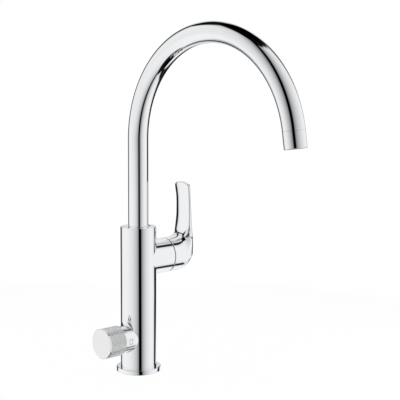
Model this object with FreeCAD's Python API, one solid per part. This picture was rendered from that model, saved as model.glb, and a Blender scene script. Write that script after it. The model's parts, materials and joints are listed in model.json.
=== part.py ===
import FreeCAD, Part
import math
import os

# Filter kitchen mixer tap, one STEP file for each piece. Millimetres, +Z up.
# The origin is on the body's axis, on the worktop. The spout points to -Y, towards the user,
# the lever is on +X and the filter knob is on -X.

V = FreeCAD.Vector

# Clearances
FIT = 0.05              # radial, between pieces that don't move on each other
RUN = 0.08              # radial, a shaft turning in its bore
FACE_GAP = 0.05         # along the axis, between faces that slide on each other
SEAM_GAP = 0.3          # visible line between two casings
SEAL_SQUEEZE = 0.08     # how far a seal's section stays inside its groove and bore

# Base
RING_D = 48.4
RING_H = 5.0
RING_EDGE = 0.7
RING_BORE_WALL = 2.3    # from the body's side to the spigot that stands in the ring
BASE_SEAL_INSET = 1.6   # from the spigot to the seal's groove
BASE_SEAL_W = 2.0
BASE_SEAL_H = 1.6
BASE_LIFT = 0.5         # from the worktop to the underside of the lower body

# Body, from the worktop up
BODY_D = 39.0
KNOB_ABOVE_RING = 32.8
SEAM_ABOVE_KNOB = 19.7
LEVER_ABOVE_SEAM = 66.1
TOP_ABOVE_LEVER = 35.9
SPIGOT_WALL = 4.5
SPIGOT_H = 11.0
BODY_SEAL_RISE = 2.8
BODY_SEAL_D = 2.2
LOCK_SCREW_D = 5.0
LOCK_SCREW_RISE = 7.0
LOCK_SCREW_BITE = 1.2
SCREW_SINK = 0.6        # grub screws end this far below the surface

# Waterways
WATERWAY_D = 5.0
CROSS_BORE_STEP = 0.6   # a cross bore's diameter is this much under the riser's that it meets
INLET_D = 9.0           # tapping bore of an M10 x 1 hose end
INLET_L = 10.0
PORT_INSET = 5.6        # from the spigot's side to the circle of the inlets
INLET_ANGLE = 50.0
FILTER_INLET_ANGLE = 140.0
PORT_SEAL_WALL = 1.2
PORT_SEAL_H = 1.5
PIPE_D = 6.0
PIPE_WALL = 1.0
PIPE_IN_FOOT = 10.0
MIX_RISER_WALL = 1.5

# Under the worktop
STUD_D = 8.0
STUD_ANGLE = 230.0
STUD_INSET = 5.5        # from the ring's spigot side to the stud's axis
STUD_IN_BODY = 12.0
STUD_FREE_END = 15.0
WORKTOP_T = 30.0
CLAMP_D = 48.0
CLAMP_WASHER_T = 3.0
CLAMP_PLATE_T = 3.0
CLAMP_SLOT_W = 28.6
CLAMP_SLOT_WALL = 1.5
NUT_FLATS = 13.0
NUT_H = 14.0

# Spout
TUBE_D = 22.0
TUBE_WALL = 1.0
RISER_H = 94.8          # straight tube above the body
BEND_R = 111.3
BEND_SWEEP = 171.0
HOSE_D = 8.0
HOSE_WALL = 1.25
HOSE_IN_FOOT = 10.0
SOCKET_CLEAR = 0.15
SOCKET_FLOOR_T = 2.0
FOOT_GAP = 1.5
FOOT_L = 16.0
FOOT_SPIGOT_L = 12.0
FOOT_EDGE = 0.5
BUSH_T = 1.2
BUSH_H = 2.5
BUSH_SLIT = 2.0
LOWER_BUSH_RISE = 0.5
UPPER_BUSH_DROP = 1.5
STOP_RISE = 6.0
STOP_SCREW_D = 6.0
STOP_POINT_D = 4.0
STOP_GROOVE_H = 4.4
STOP_GROOVE_DEPTH = 2.3
SWIVEL_RANGE = 75.0
SWIVEL_SPARE = 1.0
FOOT_SEAL_RISES = (10.2, 13.6)
FOOT_SEAL_D = 1.9
PIPE_SEAL_RISE = 5.0
PIPE_SEAL_D = 1.8
MIX_HOLES = 8
MIX_HOLE_WALL = 0.45

# Outlet
SLEEVE_L = 16.5
SLEEVE_NECK_L = 6.0
SLEEVE_NECK_CLEAR = 0.3
SLEEVE_NECK_WALL = 1.1
SLEEVE_WALL = 1.4
SLEEVE_EDGE = 0.5
INSERT_L = 8.0
INSERT_SINK = 0.5
INSERT_HOLES = 18
INSERT_HOLE_D = 1.5
INSERT_HOLE_INSET = 2.4
INSERT_NOZZLE_D = 4.0
NIPPLE_L = 5.0
OUTLET_SEAL_H = 1.5
OUTLET_SEAL_W = 2.3

# Mixer cartridge, from its seat outwards along the lever's axis
CARTRIDGE_D = 28.0
CARTRIDGE_CLEAR = 0.2
SEAT_WALL = 2.3         # from the spout's socket to the cartridge's seat
HOUSING_BASE_T = 3.0
HOUSING_WALL = 1.8
FIXED_DISC_T = 2.75
MOVING_DISC_T = 2.65
MOVING_DISC_INSET = 2.3
MIXING_POCKET_W = 12.0
MIXING_POCKET_TOP = 0.9
MIXING_POCKET_FOOT = 6.6
MIXING_POCKET_DEPTH = 1.6
CARRIER_T = 3.2
BALL_D = 3.0
BALL_CLEAR = 0.25
BALL_RISE = 1.75        # ball's centre above the carrier's underside
PIVOT_RISE = 3.0        # lever pivot above the carrier
TURRET_LIFT = 0.35
TURRET_FLANGE_T = 5.3
TURRET_NECK_D = 18.0
TURRET_NECK_L = 3.1
TURRET_SLOT_UP = 4.4
TURRET_SLOT_DOWN = 6.6
TURRET_SLOT_CLEAR = 0.25
TURRET_PLAY = 0.1
PIN_D = 2.4
PIN_L = 16.0
STEM_W = 5.4
STEM_EYE_D = 5.2
STEM_NECK_D = 2.0
STEM_IN_LEVER = 7.0
COLLAR_T = 2.0
NUT_THREAD_H = 1.7      # thread's radius over the cartridge's
NUT_RING_T = 4.4
NUT_SKIRT_T = 2.6
NUT_BORE_CLEAR = 0.4
PORT_HOLE_D = 4.4
INLET_PORT_Y = 6.0
INLET_PORT_RISE = 3.4
OUTLET_PORT_DROP = 4.6

# Lever
BOSS_WALL = 3.5
BOSS_END_GAP = 0.25     # boss end past the nut
RIM_GAP = 0.35          # cap rim past the boss end
RIM_T = 0.3
DOME_CLEAR = 0.25       # between the dome and the cap's inside
DOME_BORE_D = 26.4
CAP_L = 33.5
CAP_ROUND = 13.0        # lower back edge of the cap
CAP_SHELL = 3.8
CAP_HUB_D = 15.0
CAP_POCKET_FLOOR = 11.5
PADDLE_H = 80.6         # top of the paddle above the lever's axis
PADDLE_FOOT_W = 25.0
PADDLE_TOP_W = 20.4
PADDLE_T = 4.5
PADDLE_ROUND = 3.0      # back edge of the paddle
PADDLE_BOW = 1.0        # hollow of the inner face along its height
PADDLE_CROWN = 3.2      # rise of the rounded top edge
PADDLE_CORNER = 3.0
PADDLE_FOOT_FILLET = 3.0
PADDLE_SIDE_FILLET = 8.0
PADDLE_LEAN = 1.2       # top of the paddle towards the body
LEVER_SCREW_D = 5.0
LEVER_SCREW_L = 6.0
LEVER_PLUG_D = 6.4
LEVER_PLUG_T = 2.6
LEVER_PLUG_SINK = 0.4

# Filter valve, from its seat outwards along the knob's axis
FILTER_SEAT_WALL = 2.3
SEAT_SEAL_T = 2.0
SEAT_SEAL_W = 3.6
FILTER_DISC_D = 14.0
FILTER_FIXED_T = 2.5
FILTER_TURNING_T = 2.2
FILTER_HOLE_D = 3.4
FILTER_HOLE_OFFSET = 3.6
DRIVER_T = 2.0
DRIVER_SLOT_W = 3.4
CUP_WALL = 1.5
CUP_LIFT = 1.2          # cup's rim above the seat
CUP_FLOOR_T = 1.5
CHAMBER_GAP = 1.4
WINDOW_W = 7.0
VALVE_THREAD_STEP = 0.5
VALVE_THREAD_L = 9.1
VALVE_FLANGE_LAP = 1.4
VALVE_FLANGE_T = 1.5
VALVE_HEX_FLATS = 17.0
VALVE_HEX_L = 5.0
FILTER_OUT_RISE = 7.0
PIPE_FOOT_RISE = 12.2   # lower end of the filter riser above the knob's axis
SPINDLE_D = 7.0
SPINDLE_SEAL_D = 1.1
SPINDLE_SEAL_BACK = 5.0
CLIP_T = 0.8
CLIP_W = 2.2
CLIP_GROOVE_DEPTH = 0.7
CLIP_MOUTH = 4.0
SQUARE_W = 4.8
SQUARE_L = 6.5
COLLAR_WALL = 4.25
COLLAR_FLARE = 5.0

# Filter knob
KNOB_GAP = 0.3
KNOB_L = 20.7
KNOB_WALL = 3.5
KNOB_CLEAR = 0.7
KNOB_BEVEL = 0.6
FLUTES = 96
FLUTE_DEPTH = 0.35
WEB_T = 1.6
FACE_T = 1.2
FACE_LEDGE = 1.3
CARRIER_BUSH_D = 16.0
CARRIER_BUSH_L = 7.4
KNOB_SCREW_D = 3.0
KNOB_SCREW_HEAD_D = 5.5
KNOB_SCREW_HEAD_H = 1.7
KNOB_SCREW_L = 8.0
DRIVE_SOCKET_D = 2.5
DRIVE_SOCKET_L = 1.0

# Heights that follow
BODY_R = BODY_D / 2
KNOB_Z = RING_H + KNOB_ABOVE_RING
SEAM_Z = KNOB_Z + SEAM_ABOVE_KNOB
SPIGOT_TOP = SEAM_Z + SPIGOT_H
LEVER_Z = SEAM_Z + LEVER_ABOVE_SEAM
BODY_TOP = LEVER_Z + TOP_ABOVE_LEVER
BEND_Z = BODY_TOP + RISER_H
WATERWAY_R = WATERWAY_D / 2
CROSS_BORE_R = (WATERWAY_D - CROSS_BORE_STEP) / 2
SOCKET_FLOOR = LEVER_Z + INLET_PORT_RISE + WATERWAY_R + SOCKET_FLOOR_T
FOOT_BOTTOM = SOCKET_FLOOR + FOOT_GAP
TUBE_END = FOOT_BOTTOM + FOOT_L

# Radii that follow
TUBE_R = TUBE_D / 2
TUBE_BORE_R = TUBE_R - TUBE_WALL
SOCKET_R = TUBE_R + SOCKET_CLEAR
PIPE_R = PIPE_D / 2
HOSE_R = HOSE_D / 2
SPIGOT_R = BODY_R - SPIGOT_WALL
BASE_SPIGOT_R = BODY_R - RING_BORE_WALL
PORT_CIRCLE_R = SPIGOT_R - PORT_INSET
STUD_CIRCLE_R = BASE_SPIGOT_R - STUD_INSET
MIX_RISER_X = PIPE_R + WATERWAY_R + MIX_RISER_WALL
STOP_GROOVE_R = TUBE_R - STOP_GROOVE_DEPTH
PIPE_SEAL_GROOVE_R = PIPE_R + PIPE_SEAL_D

# Mixer cartridge's stack along the lever's axis
CARTRIDGE_R = CARTRIDGE_D / 2
HOUSING_BORE_R = CARTRIDGE_R - HOUSING_WALL
CARTRIDGE_SEAT = SOCKET_R + SEAT_WALL
FIXED_DISC_U = CARTRIDGE_SEAT + HOUSING_BASE_T + FACE_GAP
MOVING_DISC_U = FIXED_DISC_U + FIXED_DISC_T + FACE_GAP
CARRIER_U = MOVING_DISC_U + MOVING_DISC_T
CARRIER_END = CARRIER_U + CARRIER_T
BALL_U = CARRIER_U + BALL_RISE
PIVOT_U = CARRIER_END + PIVOT_RISE
TURRET_U = CARRIER_END + TURRET_LIFT
TURRET_SHOULDER = TURRET_U + TURRET_FLANGE_T
HOUSING_END = TURRET_SHOULDER + TURRET_PLAY
COLLAR_END = HOUSING_END + COLLAR_T
NUT_END = COLLAR_END + NUT_RING_T
BOSS_END = NUT_END + BOSS_END_GAP
RIM_U = BOSS_END + RIM_GAP
NUT_R = CARTRIDGE_R + NUT_THREAD_H
NUT_BORE_R = TURRET_NECK_D / 2 + NUT_BORE_CLEAR
NUT_NECK_U = COLLAR_END + NUT_SKIRT_T
BOSS_R = NUT_R + FIT + BOSS_WALL
CAP_SPHERE_R = math.hypot(RIM_U - PIVOT_U, BOSS_R - RIM_T)
DOME_R = CAP_SPHERE_R - DOME_CLEAR
CAP_END = RIM_U + CAP_L
STEM_END = PIVOT_U + CAP_SPHERE_R + STEM_IN_LEVER
LEVER_SCREW_U = STEM_END - STEM_IN_LEVER / 2

# Filter valve's stack along the knob's axis
FILTER_INLET_X = PORT_CIRCLE_R * math.cos(math.radians(FILTER_INLET_ANGLE))
FILTER_SEAT = -FILTER_INLET_X + WATERWAY_R + FILTER_SEAT_WALL
FILTER_FIXED_U = FILTER_SEAT + SEAT_SEAL_T
FILTER_TURNING_U = FILTER_FIXED_U + FILTER_FIXED_T + FACE_GAP
DRIVER_U = FILTER_TURNING_U + FILTER_TURNING_T + FACE_GAP
DRIVER_END = DRIVER_U + DRIVER_T
CUP_R = FILTER_DISC_D / 2 + FIT
CUP_OUTER_R = CUP_R + CUP_WALL
CUP_FLOOR = DRIVER_END + FACE_GAP
CHAMBER_R = CUP_OUTER_R + CHAMBER_GAP
CHAMBER_END = CUP_FLOOR + CUP_FLOOR_T
VALVE_R = CHAMBER_R + VALVE_THREAD_STEP
COLLAR_FACE = CHAMBER_END + VALVE_THREAD_L
VALVE_FLANGE_R = VALVE_R + VALVE_FLANGE_LAP
VALVE_FLANGE_END = COLLAR_FACE + VALVE_FLANGE_T
VALVE_END = VALVE_FLANGE_END + VALVE_HEX_L
SPINDLE_R = SPINDLE_D / 2
SPINDLE_BORE_R = SPINDLE_R + RUN
CLIP_U = VALVE_END + FACE_GAP
COLLAR_R = VALVE_R + COLLAR_WALL
KNOB_BORE_R = VALVE_FLANGE_R + KNOB_CLEAR
KNOB_R = KNOB_BORE_R + KNOB_WALL
KNOB_REAR = COLLAR_FACE + KNOB_GAP
KNOB_FACE = KNOB_REAR + KNOB_L
FACE_U = KNOB_FACE - FACE_T
FACE_R = KNOB_R - KNOB_BEVEL - FIT
SCREW_HEAD_U = FACE_U - 4 * FACE_GAP - KNOB_SCREW_HEAD_H
WEB_U = SCREW_HEAD_U - WEB_T
SPINDLE_END = WEB_U - 10 * FACE_GAP


class Axis:
    """A line that turned pieces are built along, measured from its own zero."""

    def __init__(self, origin, direction):
        self.origin = origin
        self.direction = direction

    def at(self, along, side=V(0, 0, 0)):
        return self.origin + self.direction * along + side

    def rod(self, radius, start, end, side=V(0, 0, 0)):
        return Part.makeCylinder(radius, end - start, self.at(start, side), self.direction)

    def tube(self, outer, inner, start, end, side=V(0, 0, 0)):
        return self.rod(outer, start, end, side).cut(self.rod(inner, start, end, side))

    def cone(self, start_radius, end_radius, start, end):
        return Part.makeCone(start_radius, end_radius, end - start, self.at(start), self.direction)

    def hexagon(self, flats, start, end, side=V(0, 0, 0)):
        across = self.direction.cross(V(0, 1, 0))
        turn = FreeCAD.Rotation(self.direction, 60)
        corner = across * (flats / math.sqrt(3))
        points = []
        for _ in range(7):
            points.append(self.at(start, side) + corner)
            corner = turn.multVec(corner)
        return Part.Face(Part.makePolygon(points)).extrude(self.direction * (end - start))

    def ring_seal(self, inner, outer, along):
        """O-ring lying between two radii, with its section just clear of both."""
        section = (outer - inner) / 2 - SEAL_SQUEEZE
        return Part.makeTorus((inner + outer) / 2, section, self.at(along), self.direction)


UP = V(0, 0, 1)
RIGHT = V(1, 0, 0)
BACK = V(0, 1, 0)
BODY_AXIS = Axis(V(0, 0, 0), UP)
LEVER_AXIS = Axis(V(0, 0, LEVER_Z), RIGHT)
FILTER_AXIS = Axis(V(0, 0, KNOB_Z), -RIGHT)
SWEEP = math.radians(BEND_SWEEP)
OUTLET_AXIS = Axis(
    V(0, BEND_R * (math.cos(SWEEP) - 1), BEND_Z + BEND_R * math.sin(SWEEP)),
    V(0, -math.sin(SWEEP), math.cos(SWEEP)),
)


def polar(radius, degrees):
    """Point of the worktop plane at a radius and an angle from +X."""
    angle = math.radians(degrees)
    return V(radius * math.cos(angle), radius * math.sin(angle), 0)


def box(x, y, z):
    """Box between three pairs of limits."""
    return Part.makeBox(x[1] - x[0], y[1] - y[0], z[1] - z[0], V(x[0], y[0], z[0]))


def rod_between(radius, start, end):
    return Part.makeCylinder(radius, (end - start).Length, start, end - start)


def fuse(first, *others):
    return first.fuse(list(others)).removeSplitter()


def group(solids):
    return Part.makeCompound(solids)


def round_edges(shape, radius, chosen):
    """Round the edges that the test picks."""
    return shape.makeFillet(radius, [edge for edge in shape.Edges if chosen(edge)])


def is_circle(edge, radius):
    curve = edge.Curve
    return isinstance(curve, Part.Circle) and abs(curve.Radius - radius) < 1e-6


HOT_PORT = polar(PORT_CIRCLE_R, INLET_ANGLE)
COLD_PORT = polar(PORT_CIRCLE_R, -INLET_ANGLE)
FILTER_PORT = polar(PORT_CIRCLE_R, FILTER_INLET_ANGLE)
STUD_PLACE = polar(STUD_CIRCLE_R, STUD_ANGLE)
CARTRIDGE_INLETS = [V(0, INLET_PORT_Y, INLET_PORT_RISE), V(0, -INLET_PORT_Y, INLET_PORT_RISE)]
CARTRIDGE_PORTS = CARTRIDGE_INLETS + [V(0, 0, -OUTLET_PORT_DROP)]


# Base and the fixing under the worktop

def base_ring():
    ring = BODY_AXIS.rod(RING_D / 2, 0, RING_H)
    ring = round_edges(ring, RING_EDGE, lambda edge: edge.CenterOfMass.z > RING_H - 1e-6)
    ring = ring.cut(BODY_AXIS.rod(BASE_SPIGOT_R + FIT, 0, RING_H))
    inner = BASE_SPIGOT_R + BASE_SEAL_INSET
    groove = BODY_AXIS.tube(inner + BASE_SEAL_W + FIT, inner - FIT, 0, BASE_SEAL_H)
    return ring.cut(groove)


def base_seal():
    inner = BASE_SPIGOT_R + BASE_SEAL_INSET
    return BODY_AXIS.tube(inner + BASE_SEAL_W, inner, 0, BASE_SEAL_H)


def fixing_stud():
    bottom = -WORKTOP_T - CLAMP_WASHER_T - CLAMP_PLATE_T - NUT_H - STUD_FREE_END
    stud = BODY_AXIS.rod(STUD_D / 2, bottom, BASE_LIFT + STUD_IN_BODY, STUD_PLACE)
    return stud.makeChamfer(STUD_D / 10, stud.Edges[0:1] + stud.Edges[2:3])


def horseshoe(top, thickness):
    """Clamp plate round the stud, open towards the hoses."""
    plate = BODY_AXIS.rod(CLAMP_D / 2, top - thickness, top)
    edge = -STUD_CIRCLE_R + STUD_D / 2 + CLAMP_SLOT_WALL + 2 * FIT
    slot = box((edge, CLAMP_D), (-CLAMP_SLOT_W / 2, CLAMP_SLOT_W / 2), (top - thickness, top))
    slot.rotate(V(0, 0, 0), UP, STUD_ANGLE - 180)
    hole = BODY_AXIS.rod(STUD_D / 2 + 2 * FIT, top - thickness, top, STUD_PLACE)
    return plate.cut([slot, hole])


def clamp_washer():
    return horseshoe(-WORKTOP_T, CLAMP_WASHER_T)


def clamp_plate():
    return horseshoe(-WORKTOP_T - CLAMP_WASHER_T, CLAMP_PLATE_T)


def clamp_nut():
    top = -WORKTOP_T - CLAMP_WASHER_T - CLAMP_PLATE_T
    nut = BODY_AXIS.hexagon(NUT_FLATS, top - NUT_H, top, STUD_PLACE)
    return nut.cut(BODY_AXIS.rod(STUD_D / 2 + FIT, top - NUT_H, top, STUD_PLACE))


# Body

def lower_body():
    barrel = BODY_AXIS.rod(BODY_R, RING_H, SEAM_Z)
    body = barrel.fuse(FILTER_AXIS.rod(COLLAR_R, 0, COLLAR_FACE)).removeSplitter()
    meeting = [
        edge for edge in body.Edges
        if not isinstance(edge.Curve, (Part.Circle, Part.Line))
        and RING_H < edge.CenterOfMass.z < SEAM_Z
    ]
    body = body.makeFillet(COLLAR_FLARE, meeting)
    base = BODY_AXIS.rod(BASE_SPIGOT_R, BASE_LIFT, RING_H)
    spigot = BODY_AXIS.rod(SPIGOT_R, SEAM_Z, SPIGOT_TOP)
    body = fuse(body, base, spigot)
    groove_r = SPIGOT_R - BODY_SEAL_D
    seal_z = SEAM_Z + BODY_SEAL_RISE
    groove_h = BODY_SEAL_D + 2 * SEAL_SQUEEZE
    cuts = [BODY_AXIS.tube(SPIGOT_R + 1, groove_r, seal_z - groove_h / 2, seal_z + groove_h / 2)]
    for port in (HOT_PORT, COLD_PORT):
        cuts.append(BODY_AXIS.rod(INLET_D / 2, BASE_LIFT, BASE_LIFT + INLET_L, port))
        cuts.append(BODY_AXIS.rod(WATERWAY_R, BASE_LIFT, SPIGOT_TOP, port))
        recess_r = WATERWAY_R + PORT_SEAL_WALL + FIT
        cuts.append(BODY_AXIS.rod(recess_r, SPIGOT_TOP - PORT_SEAL_H, SPIGOT_TOP, port))
    pipe_recess_r = PIPE_R + PORT_SEAL_WALL + FIT
    cuts.append(BODY_AXIS.rod(pipe_recess_r, SPIGOT_TOP - PORT_SEAL_H, SPIGOT_TOP))
    cuts.append(BODY_AXIS.rod(INLET_D / 2, BASE_LIFT, BASE_LIFT + INLET_L, FILTER_PORT))
    cuts.append(BODY_AXIS.rod(WATERWAY_R, BASE_LIFT, KNOB_Z + WATERWAY_R, FILTER_PORT))
    elbow = V(FILTER_PORT.x, 0, KNOB_Z)
    cuts.append(rod_between(CROSS_BORE_R, V(FILTER_PORT.x, FILTER_PORT.y, KNOB_Z), elbow))
    cuts.append(FILTER_AXIS.rod(WATERWAY_R, -FILTER_PORT.x, FILTER_SEAT))
    cuts.append(FILTER_AXIS.rod(CHAMBER_R, FILTER_SEAT, CHAMBER_END))
    cuts.append(FILTER_AXIS.rod(VALVE_R + FIT, CHAMBER_END, COLLAR_FACE))
    out_side = V(0, 0, FILTER_OUT_RISE)
    pipe_bore_r = PIPE_R - PIPE_WALL
    cuts.append(FILTER_AXIS.rod(pipe_bore_r, 0, CHAMBER_END - CHAMBER_GAP, out_side))
    pipe_foot = KNOB_Z + PIPE_FOOT_RISE
    cuts.append(BODY_AXIS.rod(pipe_bore_r, KNOB_Z + FILTER_OUT_RISE, pipe_foot))
    cuts.append(BODY_AXIS.rod(PIPE_R + FIT, pipe_foot, SPIGOT_TOP))
    stud_top = BASE_LIFT + STUD_IN_BODY
    cuts.append(BODY_AXIS.rod(STUD_D / 2 + FIT, BASE_LIFT, stud_top, STUD_PLACE))
    lock = V(0, SPIGOT_R - LOCK_SCREW_BITE, SEAM_Z + LOCK_SCREW_RISE)
    cuts.append(Part.makeCylinder(LOCK_SCREW_D / 2 + FIT, SPIGOT_WALL, lock, BACK))
    return body.cut(cuts)


def upper_body():
    barrel = BODY_AXIS.rod(BODY_R, SEAM_Z + SEAM_GAP, BODY_TOP)
    boss = LEVER_AXIS.rod(BOSS_R, 0, BOSS_END)
    beyond = LEVER_AXIS.rod(2 * BOSS_R, PIVOT_U, BOSS_END).cut(lever_ball(DOME_R))
    body = fuse(barrel, boss.cut(beyond))
    lock = V(0, SPIGOT_R - LOCK_SCREW_BITE, SEAM_Z + LOCK_SCREW_RISE)
    stop = V(0, STOP_GROOVE_R, FOOT_BOTTOM + STOP_RISE)
    cuts = [
        BODY_AXIS.rod(SPIGOT_R + FIT, SEAM_Z, SPIGOT_TOP),
        BODY_AXIS.rod(PIPE_R + FIT, SPIGOT_TOP, SOCKET_FLOOR),
        BODY_AXIS.rod(SOCKET_R, SOCKET_FLOOR, BODY_TOP),
        LEVER_AXIS.rod(CARTRIDGE_R + CARTRIDGE_CLEAR, CARTRIDGE_SEAT, COLLAR_END),
        LEVER_AXIS.rod(NUT_R + FIT, HOUSING_END, BOSS_END),
        Part.makeCylinder(LOCK_SCREW_D / 2 + FIT, BODY_R, lock, BACK),
        Part.makeCylinder(STOP_SCREW_D / 2 + FIT, BODY_R, stop, BACK),
    ]
    for bush_z in bush_heights():
        groove = (bush_z - FACE_GAP, bush_z + BUSH_H + FACE_GAP)
        cuts.append(BODY_AXIS.rod(SOCKET_R + BUSH_T, groove[0], groove[1]))
    inlet_z = LEVER_Z + INLET_PORT_RISE
    for port in (HOT_PORT, COLD_PORT):
        cuts.append(BODY_AXIS.rod(WATERWAY_R, SPIGOT_TOP, inlet_z + WATERWAY_R, port))
    for place in CARTRIDGE_INLETS:
        cuts.append(LEVER_AXIS.rod(CROSS_BORE_R, HOT_PORT.x, CARTRIDGE_SEAT, place))
    outlet = V(0, 0, -OUTLET_PORT_DROP)
    cuts.append(LEVER_AXIS.rod(CROSS_BORE_R, MIX_RISER_X, CARTRIDGE_SEAT, outlet))
    mix_z = LEVER_Z - OUTLET_PORT_DROP - WATERWAY_R
    cuts.append(BODY_AXIS.rod(WATERWAY_R, mix_z, SOCKET_FLOOR, V(MIX_RISER_X, 0, 0)))
    return body.cut(cuts)


def body_seal():
    return BODY_AXIS.ring_seal(SPIGOT_R - BODY_SEAL_D, SPIGOT_R, SEAM_Z + BODY_SEAL_RISE)


def waterway_seals():
    start = SPIGOT_TOP - PORT_SEAL_H
    rings = []
    for place, bore in ((HOT_PORT, WATERWAY_R), (COLD_PORT, WATERWAY_R), (V(0, 0, 0), PIPE_R + FIT)):
        outer = bore + PORT_SEAL_WALL - FIT
        rings.append(BODY_AXIS.tube(outer, bore, start, SPIGOT_TOP, place))
    return group(rings)


def grub_screw(diameter, tip, end, direction, point_d=0, point_l=0):
    """Headless screw from its tip to its end, with a hexagon socket and an optional dog point."""
    axis = Axis(tip, direction)
    screw = axis.rod(diameter / 2, point_l, end)
    if point_l:
        screw = fuse(screw, axis.rod(point_d / 2, 0, point_l))
    return screw.cut(axis.rod(diameter / 4, end - diameter / 2, end))


def lock_screw():
    tip = V(0, SPIGOT_R - LOCK_SCREW_BITE, SEAM_Z + LOCK_SCREW_RISE)
    return grub_screw(LOCK_SCREW_D, tip, BODY_R - SCREW_SINK - tip.y, BACK)


def filter_riser():
    top = FOOT_BOTTOM + PIPE_IN_FOOT
    return BODY_AXIS.tube(PIPE_R, PIPE_R - PIPE_WALL, KNOB_Z + PIPE_FOOT_RISE, top)


# Spout

def bush_heights():
    return (FOOT_BOTTOM + LOWER_BUSH_RISE, BODY_TOP - UPPER_BUSH_DROP - BUSH_H)


def slide_bushes():
    slit = (-BUSH_SLIT / 2, BUSH_SLIT / 2)
    bushes = []
    for start in bush_heights():
        ring = BODY_AXIS.tube(SOCKET_R + BUSH_T - FIT, TUBE_R + RUN, start, start + BUSH_H)
        bushes.append(ring.cut(box(slit, (-BODY_R, 0), (start, start + BUSH_H))))
    return group(bushes)


def stop_screw():
    tip = V(0, STOP_GROOVE_R + 2 * SOCKET_CLEAR, FOOT_BOTTOM + STOP_RISE)
    end = BODY_R - SCREW_SINK - tip.y
    point = TUBE_R + 2 * SOCKET_CLEAR - tip.y
    return grub_screw(STOP_SCREW_D, tip, end, BACK, STOP_POINT_D, point)


def bent_tube(outer, inner, start, tail):
    """Tube on the spout's centre line, from a height on the riser to a length past the bend."""
    disc = Part.Face(Part.Wire(Part.makeCircle(outer, V(0, 0, BEND_Z), UP)))
    hole = Part.Face(Part.Wire(Part.makeCircle(inner, V(0, 0, BEND_Z), UP)))
    bend = disc.cut(hole).Faces[0].revolve(V(0, -BEND_R, BEND_Z), RIGHT, BEND_SWEEP)
    pieces = [BODY_AXIS.tube(outer, inner, start, BEND_Z)]
    if tail:
        pieces.append(OUTLET_AXIS.tube(outer, inner, 0, tail))
    return fuse(bend, *pieces)


def spout_tube():
    return bent_tube(TUBE_R, TUBE_BORE_R, TUBE_END, 0)


def filter_hose():
    start = TUBE_END + FOOT_SPIGOT_L - HOSE_IN_FOOT
    end = insert_start() - 4 * FACE_GAP
    return bent_tube(HOSE_R, HOSE_R - HOSE_WALL, start, end)


def spout_foot():
    foot = BODY_AXIS.rod(TUBE_R, FOOT_BOTTOM, TUBE_END)
    foot = foot.makeChamfer(FOOT_EDGE, [e for e in foot.Edges if e.CenterOfMass.z < FOOT_BOTTOM + 1e-6])
    spigot_end = TUBE_END + FOOT_SPIGOT_L
    foot = fuse(foot, BODY_AXIS.rod(TUBE_BORE_R - FIT, TUBE_END, spigot_end))
    hose_start = spigot_end - HOSE_IN_FOOT
    cuts = [
        BODY_AXIS.rod(PIPE_R + SOCKET_CLEAR, FOOT_BOTTOM, hose_start),
        BODY_AXIS.rod(HOSE_R + FIT, hose_start, spigot_end),
    ]
    seal_z = FOOT_BOTTOM + PIPE_SEAL_RISE
    half = PIPE_SEAL_D / 2 + SEAL_SQUEEZE
    cuts.append(BODY_AXIS.rod(PIPE_SEAL_GROOVE_R, seal_z - half, seal_z + half))
    half = FOOT_SEAL_D / 2 + SEAL_SQUEEZE
    for rise in FOOT_SEAL_RISES:
        seal_z = FOOT_BOTTOM + rise
        cuts.append(BODY_AXIS.tube(TUBE_R + 1, TUBE_R - FOOT_SEAL_D, seal_z - half, seal_z + half))
    cuts.append(stop_groove())
    hole_r = (STOP_GROOVE_R - PIPE_SEAL_GROOVE_R) / 2 - MIX_HOLE_WALL
    circle_r = (STOP_GROOVE_R + PIPE_SEAL_GROOVE_R) / 2
    for index in range(MIX_HOLES):
        place = polar(circle_r, 360 * index / MIX_HOLES)
        cuts.append(BODY_AXIS.rod(hole_r, FOOT_BOTTOM, spigot_end, place))
    return foot.cut(cuts)


def stop_groove():
    """Arc cut in the foot that lets the stop screw's point pass over the swivel range."""
    half = SWIVEL_RANGE + SWIVEL_SPARE + math.degrees(math.asin(STOP_POINT_D / 2 / STOP_GROOVE_R))
    low = FOOT_BOTTOM + STOP_RISE - STOP_GROOVE_H / 2
    section = box((STOP_GROOVE_R, TUBE_R + 1), (0, 0.001), (low, low + STOP_GROOVE_H)).Faces[2]
    groove = section.revolve(V(0, 0, 0), UP, 2 * half)
    groove.rotate(V(0, 0, 0), UP, 90 - half)
    return groove


def spout_seals():
    rings = []
    for rise in FOOT_SEAL_RISES:
        rings.append(BODY_AXIS.ring_seal(TUBE_R - FOOT_SEAL_D, SOCKET_R, FOOT_BOTTOM + rise))
    return group(rings)


def riser_seal():
    return BODY_AXIS.ring_seal(PIPE_R, PIPE_SEAL_GROOVE_R, FOOT_BOTTOM + PIPE_SEAL_RISE)


# Outlet

def insert_start():
    return SLEEVE_L - INSERT_SINK - INSERT_L


def outlet_sleeve():
    neck_r = TUBE_BORE_R - SLEEVE_NECK_CLEAR
    sleeve = OUTLET_AXIS.rod(TUBE_R, SEAM_GAP, SLEEVE_L)
    sleeve = round_edges(sleeve, SLEEVE_EDGE, lambda edge: is_circle(edge, TUBE_R))
    sleeve = fuse(sleeve, OUTLET_AXIS.rod(neck_r, -SLEEVE_NECK_L, SEAM_GAP + SLEEVE_EDGE))
    seat = insert_start() - OUTLET_SEAL_H
    bore = OUTLET_AXIS.rod(neck_r - SLEEVE_NECK_WALL, -SLEEVE_NECK_L, seat)
    return sleeve.cut([bore, OUTLET_AXIS.rod(TUBE_R - SLEEVE_WALL, seat, SLEEVE_L)])


def outlet_seal():
    outer = TUBE_R - SLEEVE_WALL - FIT
    start = insert_start() - OUTLET_SEAL_H
    return OUTLET_AXIS.tube(outer, outer - OUTLET_SEAL_W, start, insert_start())


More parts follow.
